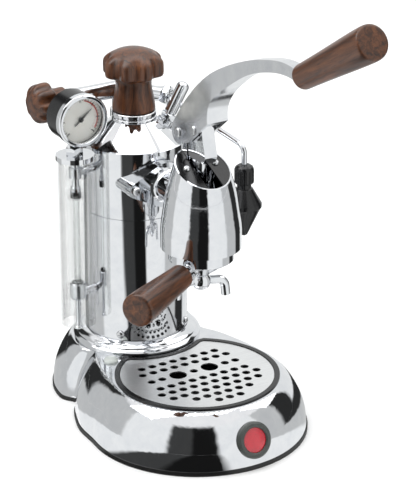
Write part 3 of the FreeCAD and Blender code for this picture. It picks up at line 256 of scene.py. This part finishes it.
@dataclass(frozen=True)
class Walnut(Finish):
    """Oiled walnut turned with its grain along the grip: brown with dark streaks and open pores."""

    name: str = "oiled_walnut"
    way: Way = Way.UP

    def paint(self, tree: bpy.types.NodeTree, shader: bpy.types.Node, coords: bpy.types.NodeSocket) -> None:
        """Streaks 5 mm wide and 70 mm long, with 0.5 mm pores in them."""
        turn = self.way.vector().rotation_difference(Vector((1, 0, 0))).to_euler()
        along = add_node(tree, "ShaderNodeMapping", None, {"Rotation": tuple(turn)}, {"Vector": coords})
        streak = add_node(tree, "ShaderNodeMapping", None, {"Scale": (0.07, 1.0, 1.0)},
                          {"Vector": along.outputs["Vector"]})
        grain = add_node(tree, "ShaderNodeTexNoise", None,
                        {"Scale": 1 / (5 * MM), "Detail": 7.0, "Roughness": 0.62, "Distortion": 0.8},
                        {"Vector": streak.outputs["Vector"]})
        colour = add_node(tree, "ShaderNodeValToRGB", None, None, {"Fac": grain.outputs["Fac"]})
        set_ramp(colour, [(0.30, linear("200F06")), (0.45, linear("4A2811")), (0.58, linear("63381B")),
                          (0.74, linear("7C4A27"))])
        pore_map = add_node(tree, "ShaderNodeMapping", None, {"Scale": (0.06, 1.0, 1.0)},
                            {"Vector": along.outputs["Vector"]})
        pores = add_node(tree, "ShaderNodeTexNoise", None,
                        {"Scale": 1 / (0.7 * MM), "Detail": 2.0, "Roughness": 0.55, "Distortion": 0.0},
                        {"Vector": pore_map.outputs["Vector"]})
        dark = add_node(tree, "ShaderNodeValToRGB", None, None, {"Fac": pores.outputs["Fac"]})
        set_ramp(dark, [(0.34, (0.45, 0.45, 0.45, 1)), (0.46, (1, 1, 1, 1))])
        mixed = add_node(tree, "ShaderNodeMix", {"data_type": "RGBA", "blend_type": "MULTIPLY"}, {0: 0.8},
                         {6: colour.outputs["Color"], 7: dark.outputs["Color"]})
        bump = add_node(tree, "ShaderNodeBump", None, {"Strength": 0.25, "Distance": 0.0002},
                        {"Height": pores.outputs["Fac"]})
        rough = add_node(tree, "ShaderNodeMapRange", None, {"To Min": 0.28, "To Max": 0.5},
                         {"Value": grain.outputs["Fac"]})
        shader.inputs["Coat Weight"].default_value = 0.22
        shader.inputs["Coat Roughness"].default_value = 0.2
        tree.links.new(mixed.outputs[2], shader.inputs["Base Color"])
        tree.links.new(rough.outputs["Result"], shader.inputs["Roughness"])
        tree.links.new(bump.outputs["Normal"], shader.inputs["Normal"])


@dataclass(frozen=True)
class Moulded(Finish):
    """Moulded plastic or rubber: an even colour with a fine grain from the mould."""

    name: str = "moulded_black_plastic"
    shade: str = "0B0B0C"
    lighter: str = "131315"
    rough: float = 0.22
    grain: float = 0.6 * MM
    ior: float = 1.5
    coat: float = 0.0

    def paint(self, tree: bpy.types.NodeTree, shader: bpy.types.Node, coords: bpy.types.NodeSocket) -> None:
        """Fine grain in the gloss and the surface."""
        spots = add_node(tree, "ShaderNodeTexNoise", None,
                        {"Scale": 1 / (self.grain), "Detail": 3.0, "Roughness": 0.55, "Distortion": 0.0},
                        {"Vector": coords})
        cloud = add_node(tree, "ShaderNodeTexNoise", None,
                        {"Scale": 1 / (9 * MM), "Detail": 4.0, "Roughness": 0.55, "Distortion": 0.0},
                        {"Vector": coords})
        tint = add_node(tree, "ShaderNodeValToRGB", None, None, {"Fac": cloud.outputs["Fac"]})
        set_ramp(tint, [(0.35, linear(self.shade)), (0.7, linear(self.lighter))])
        rough = add_node(tree, "ShaderNodeMapRange", None,
                         {"To Min": max(0.02, self.rough - 0.07), "To Max": self.rough + 0.07},
                         {"Value": spots.outputs["Fac"]})
        bump = add_node(tree, "ShaderNodeBump", None, {"Strength": 0.12, "Distance": 0.00008},
                        {"Height": spots.outputs["Fac"]})
        shader.inputs["IOR"].default_value = self.ior
        shader.inputs["Coat Weight"].default_value = self.coat
        shader.inputs["Coat Roughness"].default_value = 0.04
        tree.links.new(tint.outputs["Color"], shader.inputs["Base Color"])
        tree.links.new(rough.outputs["Result"], shader.inputs["Roughness"])
        tree.links.new(bump.outputs["Normal"], shader.inputs["Normal"])


@dataclass(frozen=True)
class Clear(Finish):
    """Clear acrylic or glass tube and cover: polished, with the least ripple from drawing."""

    name: str = "clear_tube"
    ior: float = 1.49
    shade: str = "FAFDFC"
    cover: float = 0.28

    def paint(self, tree: bpy.types.NodeTree, shader: bpy.types.Node, coords: bpy.types.NodeSocket) -> None:
        """Transparent, with 12 mm waves too shallow to see except in its reflections."""
        shader.inputs["Transmission Weight"].default_value = 1.0
        shader.inputs["IOR"].default_value = self.ior
        shader.inputs["Roughness"].default_value = 0.01
        shader.inputs["Alpha"].default_value = self.cover
        wave = add_node(tree, "ShaderNodeTexNoise", None,
                        {"Scale": 1 / (12 * MM), "Detail": 1.0, "Roughness": 0.55, "Distortion": 0.0},
                        {"Vector": coords})
        tint = add_node(tree, "ShaderNodeValToRGB", None, None, {"Fac": wave.outputs["Fac"]})
        set_ramp(tint, [(0.3, linear(self.shade)), (0.8, linear("F1F6F5"))])
        bump = add_node(tree, "ShaderNodeBump", None, {"Strength": 0.03, "Distance": 0.0002},
                        {"Height": wave.outputs["Fac"]})
        tree.links.new(tint.outputs["Color"], shader.inputs["Base Color"])
        tree.links.new(bump.outputs["Normal"], shader.inputs["Normal"])


CHROME = Chrome()
STEEL = Steel()
SATIN = Chrome("satin_chrome_lever", 0.13, 0.2)
GRID = Steel("brushed_drip_plate", "F0F1F1", 0.34)
ZINC = Steel("zinc_plated_sheet", "A9ABA9", 0.38)
BRASS = Steel("machined_brass", "B8924E", 0.22)
BLACK = Moulded()
RUBBER = Moulded("black_rubber", "121212", "1A1A1A", 0.6, 1.0 * MM)
ENAMEL = Moulded("red_enamel", "C0172B", "D22638", 0.12, 2.0 * MM, 1.52, 0.9)
LENS = Moulded("frosted_pilot_lens", "C4CAC6", "DCE1DD", 0.14, 3.0 * MM, 1.49, 0.5)
RING = Moulded("grey_badge_rim", "3C403D", "4A4E4B", 0.35, 1.0 * MM)
DIAL = Moulded("printed_dial_paint", "F7F5EE", "FBFAF5", 0.45, 0.8 * MM)
INK = Moulded("dial_ink", "161616", "202020", 0.5, 0.8 * MM)
RED_INK = Moulded("red_dial_ink", "C03A2E", "CC4A3C", 0.5, 0.8 * MM)
GLASS = Clear("clear_glass", 1.5, "FBFEFD")
PANE = Clear("gauge_pane_glass", 1.5, "FBFEFD", 0.16)
TUBE = Clear()


# ---- what every sub-assembly can do -------------------------------------------------------------
@dataclass
class Assembly:
    """A sub-assembly: it dresses its own nodes and builds its own extra pieces."""

    title: str = "assembly"

    def dress(self, finish: Finish, *nodes: str) -> None:
        """Gives nodes of the model a finish."""
        for node in nodes:
            piece = frame["nodes"][node]
            if not piece.material_slots:
                piece.data.materials.append(finish.material())
            for slot in piece.material_slots:
                slot.material = finish.material()

    def place(self, piece: bpy.types.Object, name: str, body: str, slot: str, finish: Finish) -> bpy.types.Object:
        """Names a finished piece, gives it a finish, and lets it ride on a body.

        Args:
            piece: the object, with its place in its mesh.
            name: its new name.
            body: the body it moves with.
            slot: the record's material slot it stands for; not used.
            finish: its finish.

        Returns:
            The piece.
        """
        piece.name = name
        piece.data.name = name
        piece.data.materials.clear()
        piece.data.materials.append(finish.material())
        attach(piece, body)
        LOG.info("%s: %s rides on %s", self.title, name, body)
        return piece

    def soften(self, finish: Finish, edge: float, *nodes: str) -> None:
        """Stands a copy with broken edges and smooth shading in for each node.

        Args:
            finish: the copies' finish.
            edge: width of the broken edge, in metres; 0 leaves edges sharp.
            nodes: the nodes to copy.
        """
        for node in nodes:
            source = frame["nodes"][node]
            piece = bpy.data.objects.new(node + "_skin", source.data.copy())
            bpy.context.scene.collection.objects.link(piece)
            select_only(piece)
            bpy.ops.object.mode_set(mode="EDIT")
            bpy.ops.mesh.select_all(action="SELECT")
            bpy.ops.mesh.customdata_custom_splitnormals_clear()
            bpy.ops.mesh.remove_doubles(threshold=0.000004)
            bpy.ops.mesh.dissolve_limited(angle_limit=math.radians(0.3))
            bpy.ops.object.mode_set(mode="OBJECT")
            if edge:
                apply_modifier(piece, "BEVEL", width=edge, segments=2, limit_method="ANGLE",
                               angle_limit=math.radians(38), use_clamp_overlap=True)
            smooth(piece)
            apply_modifier(piece, "WEIGHTED_NORMAL", mode="FACE_AREA", weight=90, keep_sharp=True)
            self.place(piece, node + "_skin", source["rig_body"], SLOT_OF[node], finish)
            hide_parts(node)


# ---- turned wood --------------------------------------------------------------------------------
@dataclass
class TurnedGrip(Assembly):
    """A wooden grip turned from a blank, with hollows between lobes where it has them."""

    node: str = ""
    way: Way = Way.UP
    profile: tuple[tuple[float, float], ...] = ()
    lobes: int = 0
    lobe_from: float = 0.0
    hollow: float = 0.88
    rim: float = 0.8
    steps: int = 32

    def build(self) -> bpy.types.Object:
        """Turns the blank along +Z, presses the hollows, and lays it where the node is.

        Returns:
            The finished grip.
        """
        bpy.ops.object.select_all(action="DESELECT")
        steps = self.lobes * 6 if self.lobes else self.steps
        radius, height = self.profile[0]
        bpy.ops.mesh.primitive_circle_add(vertices=steps, radius=radius, fill_type="NGON", location=(0, 0, height))
        piece = bpy.context.active_object
        settle(piece)
        bpy.ops.object.mode_set(mode="EDIT")
        bpy.ops.mesh.select_all(action="SELECT")
        last_r, last_z = radius, height
        for r, z in self.profile[1:]:
            bpy.ops.mesh.extrude_region_move(TRANSFORM_OT_translate={"value": (0, 0, z - last_z)})
            scale = r / last_r
            bpy.ops.transform.resize(value=(scale, scale, 1), center_override=(0, 0, z))
            last_r, last_z = r, z
        bpy.ops.mesh.select_all(action="SELECT")
        bpy.ops.mesh.normals_make_consistent(inside=False)
        bpy.ops.object.mode_set(mode="OBJECT")
        if self.lobes:
            self.press(piece)
        apply_modifier(piece, "SUBSURF", levels=2, render_levels=2)
        turn = Vector((0, 0, 1)).rotation_difference(self.way.vector()).to_matrix().to_4x4()
        piece.matrix_world = Matrix.Translation(self.seat()) @ turn
        settle(piece)
        smooth(piece, 60)
        finish = Walnut("oiled_walnut_" + self.way.name.lower(), self.way)
        self.place(piece, self.node + "_turned", frame["nodes"][self.node]["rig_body"], SLOT_OF[self.node], finish)
        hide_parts(self.node)
        return piece

    def press(self, piece: bpy.types.Object) -> None:
        """Draws the verts between lobes in towards the axis."""
        select_only(piece)
        bpy.ops.object.mode_set(mode="EDIT")
        bpy.ops.mesh.select_all(action="DESELECT")
        bpy.ops.mesh.select_mode(type="VERT")
        bpy.ops.object.mode_set(mode="OBJECT")
        gap = 2 * math.pi / self.lobes
        widest = max(radius for radius, height in self.profile)
        for vert in piece.data.vertices:
            turn = (math.atan2(vert.co.y, vert.co.x) / gap) % 1.0
            at_rim = vert.co.z > self.lobe_from and vert.co.xy.length > widest * self.rim
            vert.select = at_rim and abs(turn - 0.5) < 0.2
        bpy.ops.object.mode_set(mode="EDIT")
        bpy.ops.transform.resize(value=(self.hollow, self.hollow, 1), center_override=(0, 0, 0))
        bpy.ops.mesh.select_all(action="DESELECT")
        bpy.ops.object.mode_set(mode="OBJECT")

    def seat(self) -> Vector:
        """The middle of the node's end that the grip is turned from."""
        way = self.way.vector()
        mesh = frame["nodes"][self.node].data
        low = min(v.co.dot(way) for v in mesh.vertices)
        near = [v.co for v in mesh.vertices if v.co.dot(way) < low + 0.0001]
        middle = sum(near, Vector()) / len(near)
        spread = [v.co - way * v.co.dot(way) for v in mesh.vertices]
        across = (way.orthogonal().normalized(), way.cross(way.orthogonal()).normalized())
        centre = Vector()
        for side in across:
            places = [p.dot(side) for p in spread]
            centre += side * (min(places) + max(places)) / 2
        return centre + way * middle.dot(way)


# ---- sub-assemblies -----------------------------------------------------------------------------
@dataclass
class BaseBody(Assembly):
    """The formed base with its trim, badge, pilot light, switch and cable gland."""

    title: str = "base"
    edge: float = 0.5 * MM

    def build(self) -> None:
        """Dresses the base; its badge is a plain red disc with a raised rim."""
        self.soften(CHROME, self.edge, "base_shell")
        self.soften(RING, 0.3 * MM, "badge_ring")
        self.soften(ENAMEL, 0.0, "badge_disc")
        self.soften(LENS, 0.0, "pilot_light")
        self.soften(RUBBER, 0.0, "base_trim")
        self.dress(ZINC, "base_plate")
        self.dress(STEEL, "base_screws")
        self.soften(BLACK, 0.3 * MM, "switch_housing", "power_rocker", "cable_gland")


@dataclass
class DripTray(Assembly):
    """The tray and its perforated plate."""

    title: str = "drip tray"

    def build(self) -> None:
        """Dresses the tray and the plate."""
        self.soften(BLACK, 0.25 * MM, "drip_tray")
        self.soften(GRID, 0.25 * MM, "drip_grid")


@dataclass
class Boiler(Assembly):
    """Boiler, heat sleeve, collar, filler ring and cap."""

    title: str = "boiler"
    lobes: int = 8

    def build(self) -> None:
        """Dresses the boiler and turns the cap's knob."""
        self.soften(CHROME, 0.3 * MM, "boiler_shell", "boiler_collar", "cap_ring")
        self.soften(CHROME, 0.0, "boiler_sleeve")
        self.soften(STEEL, 0.0, "sleeve_screws")
        self.dress(STEEL, "boiler_nut", "heating_element", "cap_plug")
        low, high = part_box("cap_knob")
        tall, r = high.z - low.z, (high.x - low.x) / 2
        waist = r * 0.57
        z1 = tall * 0.56
        profile = ((waist * 1.2, 0.0), (waist * 1.24, 0.0006), (waist * 1.18, tall * 0.16), (waist * 1.05, tall * 0.34),
                   (waist, tall * 0.46), (waist * 1.1, tall * 0.53), (r * 0.86, z1), (r * 0.98, z1 + tall * 0.02),
                   (r * 1.0, z1 + tall * 0.06), (r * 1.0, z1 + tall * 0.2), (r * 0.98, z1 + tall * 0.25), (r * 0.9, z1 + tall * 0.3),
                   (r * 0.7, tall * 0.925), (r * 0.4, tall * 0.98), (r * 0.15, tall))
        knob = TurnedGrip("filler cap", "cap_knob", Way.UP, profile, self.lobes, tall * 0.54, 0.86)
        knob.build()


@dataclass
class SteamTap(Assembly):
    """Bar, knob, wand, frother and safety valve."""

    title: str = "steam tap"
    lobes: int = 8

    def build(self) -> None:
        """Dresses the tap and turns its knob."""
        self.soften(CHROME, 0.3 * MM, "steam_bar", "wand_nut", "steam_wand", "safety_valve")
        self.dress(STEEL, "steam_spindle")
        self.soften(BLACK, 0.3 * MM, "frother_collar", "frother_body")
        low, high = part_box("steam_knob")
        long, r = high.x - low.x, (high.z - low.z) / 2
        neck = r * 0.62
        profile = ((neck * 0.94, 0.0), (neck, 0.0007), (neck * 0.95, long * 0.2), (neck * 1.02, long * 0.36),
                   (r * 0.84, long * 0.4), (r * 0.99, long * 0.46), (r * 1.01, long * 0.6), (r * 0.98, long * 0.76),
                   (r * 0.84, long * 0.88), (r * 0.55, long * 0.96), (r * 0.2, long))
        TurnedGrip("steam tap", "steam_knob", Way.LEFT, profile, self.lobes, long * 0.38, 0.87).build()


@dataclass
class SightGlass(Assembly):
    """The water gauge beside the boiler, inside its clear shield."""

    title: str = "sight glass"

    def build(self) -> None:
        """Dresses the fittings, the glass and the shield."""
        self.soften(CHROME, 0.3 * MM, "sight_flange", "sight_upper_fitting", "sight_lower_fitting")
        self.soften(GLASS, 0.0, "sight_glass")
        self.soften(TUBE, 0.0, "sight_shield")
        self.dress(RUBBER, "sight_seals")


@dataclass
class PressureGauge(Assembly):
    """The dial gauge on top of the sight glass, with its printed scale."""

    title: str = "pressure gauge"
    first: float = -135.0
    last: float = 135.0
    divisions: int = 30
    proud: float = 0.12 * MM
    band: tuple[float, float] = (14.0, 126.0)
    band_span: tuple[float, float] = (0.78, 0.84)

    def build(self) -> None:
        """Dresses the gauge and prints its scale."""
        self.soften(CHROME, 0.3 * MM, "gauge_bezel")
        self.soften(BLACK, 0.4 * MM, "gauge_case")
        self.soften(DIAL, 0.0, "gauge_dial")
        self.soften(INK, 0.0, "gauge_needle")
        self.dress(PANE, "gauge_glass")
        low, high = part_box("gauge_dial")
        centre = (low + high) / 2
        centre.y = low.y
        radius = (high.x - low.x) / 2
        self.ticks(centre, radius)
        self.arc(centre, radius)

    def ticks(self, centre: Vector, radius: float) -> None:
        """Scale marks: one bar is shaped, copied round the dial, and joined."""
        marks = []
        for k in range(self.divisions + 1):
            turn = math.radians(self.first + (self.last - self.first) * k / self.divisions)
            major = k % 5 == 0
            length = radius * (0.16 if major else 0.09)
            bpy.ops.object.select_all(action="DESELECT")
            bpy.ops.mesh.primitive_cube_add(size=1, location=(0, -self.proud, radius * 0.9 - length / 2))
            mark = bpy.context.active_object
            mark.scale = (radius * (0.045 if major else 0.025), self.proud * 2, length)
            settle(mark)
            mark.matrix_world = Matrix.Translation(centre) @ Matrix.Rotation(turn, 4, "Y")
            settle(mark)
            marks.append(mark)
        bpy.ops.object.select_all(action="DESELECT")
        for mark in marks:
            mark.select_set(True)
        bpy.context.view_layer.objects.active = marks[0]
        bpy.ops.object.join()
        self.place(marks[0], "dial_marks", "machine", "dial_face", INK)

    def arc(self, centre: Vector, radius: float) -> None:
        """The red band that warns of high pressure, near the rim."""
        bpy.ops.object.select_all(action="DESELECT")
        inner, outer = (radius * share for share in self.band_span)
        bpy.ops.mesh.primitive_plane_add(size=1, location=(0, 0, 0), rotation=(math.pi / 2, 0, 0))
        strip = bpy.context.active_object
        strip.scale = (0.0002, outer - inner, 1)
        settle(strip)
        strip.location = (0, 0, (inner + outer) / 2)
        settle(strip)
        bpy.ops.object.mode_set(mode="EDIT")
        bpy.ops.mesh.select_all(action="SELECT")
        bpy.ops.mesh.delete(type="ONLY_FACE")
        bpy.ops.mesh.select_mode(type="VERT")
        bpy.ops.mesh.select_all(action="DESELECT")
        bpy.ops.object.mode_set(mode="OBJECT")
        for vert in strip.data.vertices:
            vert.select = vert.co.x > 0
        bpy.ops.object.mode_set(mode="EDIT")
        bpy.ops.mesh.delete(type="VERT")
        bpy.ops.mesh.select_all(action="SELECT")
        bpy.ops.mesh.spin(steps=28, angle=math.radians(self.band[1] - self.band[0]), center=(0, 0, 0), axis=(0, 1, 0))
        bpy.ops.object.mode_set(mode="OBJECT")
        apply_modifier(strip, "SOLIDIFY", thickness=self.proud, offset=0)
        strip.matrix_world = Matrix.Translation(centre + Vector((0, -self.proud, 0))) @ Matrix.Rotation(
            math.radians(self.band[1]), 4, "Y")
        settle(strip)
        self.place(strip, "dial_red_band", "machine", "dial_face", RED_INK)


@dataclass
class PistonGroup(Assembly):
    """The group: flange, bell, cylinder, yoke and the piston inside."""

    title: str = "group"

    def build(self) -> None:
        """Dresses the group."""
        self.soften(CHROME, 0.4 * MM, "group_casting", "group_yoke", "piston_rod", "group_bell")
        self.soften(STEEL, 0.2 * MM, "group_bolts", "fulcrum_pin", "cover_screws")
        self.soften(BLACK, 0.3 * MM, "bell_cover")
        self.dress(STEEL, "group_liner", "shower_screen")
        self.dress(BRASS, "piston")
        self.dress(RUBBER, "portafilter_seal", "piston_seals")


@dataclass
class Lever(Assembly):
    """The long curved lever with its fork and wooden grip."""

    title: str = "lever"
    grip: tuple[float, float, float] = (10.9 * MM, 15.0 * MM, 107.2 * MM)

    def build(self) -> None:
        """Dresses the lever and turns its grip."""
        self.soften(SATIN, 1.2 * MM, "lever_arm")
        self.soften(STEEL, 0.2 * MM, "rod_pin")
        profile = grip_profile(*self.grip)
        TurnedGrip("lever", "lever_grip", Way.LEVER, profile).build()


@dataclass
class Portafilter(Assembly):
    """The filter holder with its basket, twin spout and handle."""

    title: str = "portafilter"
    grip: tuple[float, float, float] = (11.4 * MM, 15.0 * MM, 82.2 * MM)

    def build(self) -> None:
        """Dresses the holder and turns its handle."""
        self.soften(CHROME, 0.4 * MM, "portafilter_body")
        self.soften(CHROME, 0.2 * MM, "spouts")
        self.dress(STEEL, "filter_basket")
        profile = grip_profile(*self.grip)
        TurnedGrip("portafilter", "portafilter_handle", Way.HANDLE, profile).build()


def grip_profile(start: float, end: float, length: float) -> tuple[tuple[float, float], ...]:
    """Radius and place along a plain grip that swells towards its rounded end.

    Args:
        start: radius at the ferrule.
        end: radius near the end.
        length: the grip's length.

    Returns:
        (radius, height) pairs from the ferrule on.
    """
    swell = end - start
    return ((start * 0.9, 0.0), (start, 0.0), (start, 1.2 * MM), (start + swell * 0.12, length * 0.14),
            (start + swell * 0.4, length * 0.4), (start + swell * 0.78, length * 0.68), (end, length * 0.88),
            (end, length - 3.4 * MM), (end * 0.97, length - 1.2 * MM), (end * 0.86, length - 0.2 * MM),
            (end * 0.6, length), (end * 0.2, length))


# ---- studio -------------------------------------------------------------------------------------
@dataclass(frozen=True)
class RoomBands(Finish):
    """Bright and dark cards standing round the table, which give chrome its upright bands."""

    name: str = "room_cards"
    facing: float = 121.54
    centre: tuple[float, float, float] = (0.0, -0.06, 0.0)
    soft: float = 0.006
    cards: tuple[tuple[float, float], ...] = (
        (-180, 0.92), (-152, 0.03), (-130, 0.60), (-84, 1.0), (-31, 0.055), (-5, 0.01), (22, 1.0), (72, 0.62),
        (104, 0.03), (132, 0.92))

    def bands(self, tree: bpy.types.NodeTree, coords: bpy.types.NodeSocket) -> bpy.types.NodeSocket:
        """The cards' shades by direction round the machine.

        Args:
            tree: the node tree.
            coords: the direction from the machine.

        Returns:
            The colour socket.
        """
        turned = add_node(tree, "ShaderNodeMapping", None, {"Rotation": (0, 0, math.radians(self.facing))},
                          {"Vector": coords})
        turn = add_node(tree, "ShaderNodeTexGradient", {"gradient_type": "RADIAL"}, None,
                        {"Vector": turned.outputs["Vector"]})
        ramp = add_node(tree, "ShaderNodeValToRGB", None, None, {"Fac": turn.outputs["Fac"]})
        stops = [(0.0, self.grey(self.cards[0][1]))]
        for (start, shade), before in zip(self.cards[1:], self.cards):
            place = 0.5 + start / 360
            stops += [(place - self.soft, self.grey(before[1])), (place + self.soft, self.grey(shade))]
        set_ramp(ramp, stops)
        return ramp.outputs["Color"]

    def grey(self, shade: float) -> tuple[float, float, float, float]:
        """A neutral shade, the least bit cool."""
        return (shade * 0.985, shade, shade * 0.998, 1.0)

    def paint(self, tree: bpy.types.NodeTree, shader: bpy.types.Node, coords: bpy.types.NodeSocket) -> None:
        """Shows the cards' foot on the table, in reflections."""
        centred = add_node(tree, "ShaderNodeVectorMath", {"operation": "SUBTRACT"}, {1: self.centre}, {0: coords})
        light = add_node(tree, "ShaderNodeEmission", None, {"Strength": 1.0},
                         {"Color": self.bands(tree, centred.outputs["Vector"])})
        tree.links.new(light.outputs["Emission"], tree.nodes["Material Output"].inputs["Surface"])


@dataclass
class Studio:
    """A pale floor, soft lights and the camera."""

    azimuth: float = -31.54
    elevation: float = 22.54
    distance: float = 2.0064
    lens: float = 164.3
    aim: tuple[float, float, float] = (0.0, -0.12866, 0.180)
    near: float = 0.1
    far: float = 9.0

    def build(self) -> None:
        """Sets up the floor, the room, the lights and the camera."""
        self.floor()
        self.cards()
        self.room()
        self.lamp("key_softbox", (-1.3, 0.4, 2.1), 1.5, 20.0)
        self.lamp("fill_softbox", (1.7, -0.3, 1.9), 1.4, 9.0)
        self.lamp("top_softbox", (0.1, 0.2, 2.3), 1.8, 16.0)
        self.camera()

    def floor(self) -> None:
        """A wide pale floor."""
        bpy.ops.object.select_all(action="DESELECT")
        bpy.ops.mesh.primitive_grid_add(x_subdivisions=8, y_subdivisions=8, size=24, location=(0, 0, 0))
        floor = bpy.context.active_object
        floor.name = "studio_floor"
        finish = Moulded("studio_floor_paper", "F9F9F9", "FBFBFB", 0.8, 40 * MM)
        floor.data.materials.append(finish.material())

    def cards(self) -> None:
        """The part of the room's cards that lies at table height, seen only in reflections."""
        bpy.ops.object.select_all(action="DESELECT")
        bpy.ops.mesh.primitive_circle_add(vertices=96, radius=self.near, fill_type="NOTHING", location=(0, -0.06, 0))
        ring = bpy.context.active_object
        ring.name = "studio_cards"
        bpy.ops.object.mode_set(mode="EDIT")
        bpy.ops.mesh.select_all(action="SELECT")
        bpy.ops.mesh.extrude_region_move(TRANSFORM_OT_translate={"value": (0, 0, 0)})
        grow = self.far / self.near
        bpy.ops.transform.resize(value=(grow, grow, 1), center_override=(0, -0.06, 0))
        bpy.ops.object.mode_set(mode="OBJECT")
        ring.location.z += 0.001
        settle(ring)
        ring.data.materials.append(RoomBands().material())
        ring.visible_camera = False
        ring.visible_diffuse = False
        ring.visible_shadow = False

    def room(self) -> None:
        """The cards as seen above the table, below a bright ceiling."""
        world = bpy.data.worlds.new("studio_room")
        bpy.context.scene.world = world
        world.use_nodes = True
        tree = world.node_tree
        around = add_node(tree, "ShaderNodeTexCoord").outputs["Generated"]
        bands = RoomBands().bands(tree, around)
        height = add_node(tree, "ShaderNodeSeparateXYZ", None, None, {"Vector": around})
        top = add_node(tree, "ShaderNodeMapRange", None, {"From Min": 0.62, "From Max": 0.68},
                       {"Value": height.outputs["Z"]})
        mixed = add_node(tree, "ShaderNodeMix", {"data_type": "RGBA"}, {7: (1.0, 1.0, 1.0, 1)},
                         {0: top.outputs["Result"], 6: bands})
        tree.links.new(mixed.outputs[2], tree.nodes["Background"].inputs["Color"])
        tree.nodes["Background"].inputs["Strength"].default_value = 1.0

    def lamp(self, name: str, place: tuple[float, float, float], size: float, power: float) -> None:
        """An area light aimed at the machine.

        Args:
            name: the light's name.
            place: where it hangs.
            size: side of its square.
            power: in watts.
        """
        data = bpy.data.lights.new(name, "AREA")
        data.size = size
        data.energy = power
        lamp = bpy.data.objects.new(name, data)
        bpy.context.scene.collection.objects.link(lamp)
        lamp.location = place
        lamp.rotation_euler = (Vector((0, -0.1, 0.2)) - Vector(place)).to_track_quat("-Z", "Y").to_euler()

    def camera(self) -> None:
        """A long lens at the machine's three-quarter view."""
        data = bpy.data.cameras.new("studio_camera")
        data.lens = self.lens
        data.sensor_width = 36
        data.dof.use_dof = False
        data.clip_end = 60
        camera = bpy.data.objects.new("studio_camera", data)
        bpy.context.scene.collection.objects.link(camera)
        a, e = math.radians(self.azimuth), math.radians(self.elevation)
        back = Vector((math.sin(a) * math.cos(e), -math.cos(a) * math.cos(e), math.sin(e)))
        camera.location = Vector(self.aim) + back * self.distance
        camera.rotation_euler = (-back).to_track_quat("-Z", "Y").to_euler()
        bpy.context.scene.camera = camera
        bpy.context.scene.view_settings.view_transform = "Standard"


def main() -> None:
    """Builds the machine's looks and the studio."""
    logging.basicConfig(level=logging.INFO, format="%(message)s")
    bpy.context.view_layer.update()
    for assembly in (BaseBody(), DripTray(), Boiler(), SteamTap(), SightGlass(), PressureGauge(), PistonGroup(),
                     Lever(), Portafilter()):
        assembly.build()
        LOG.info("%s is ready", assembly.title)
    Studio().build()


if __name__ == "__main__":
    main()
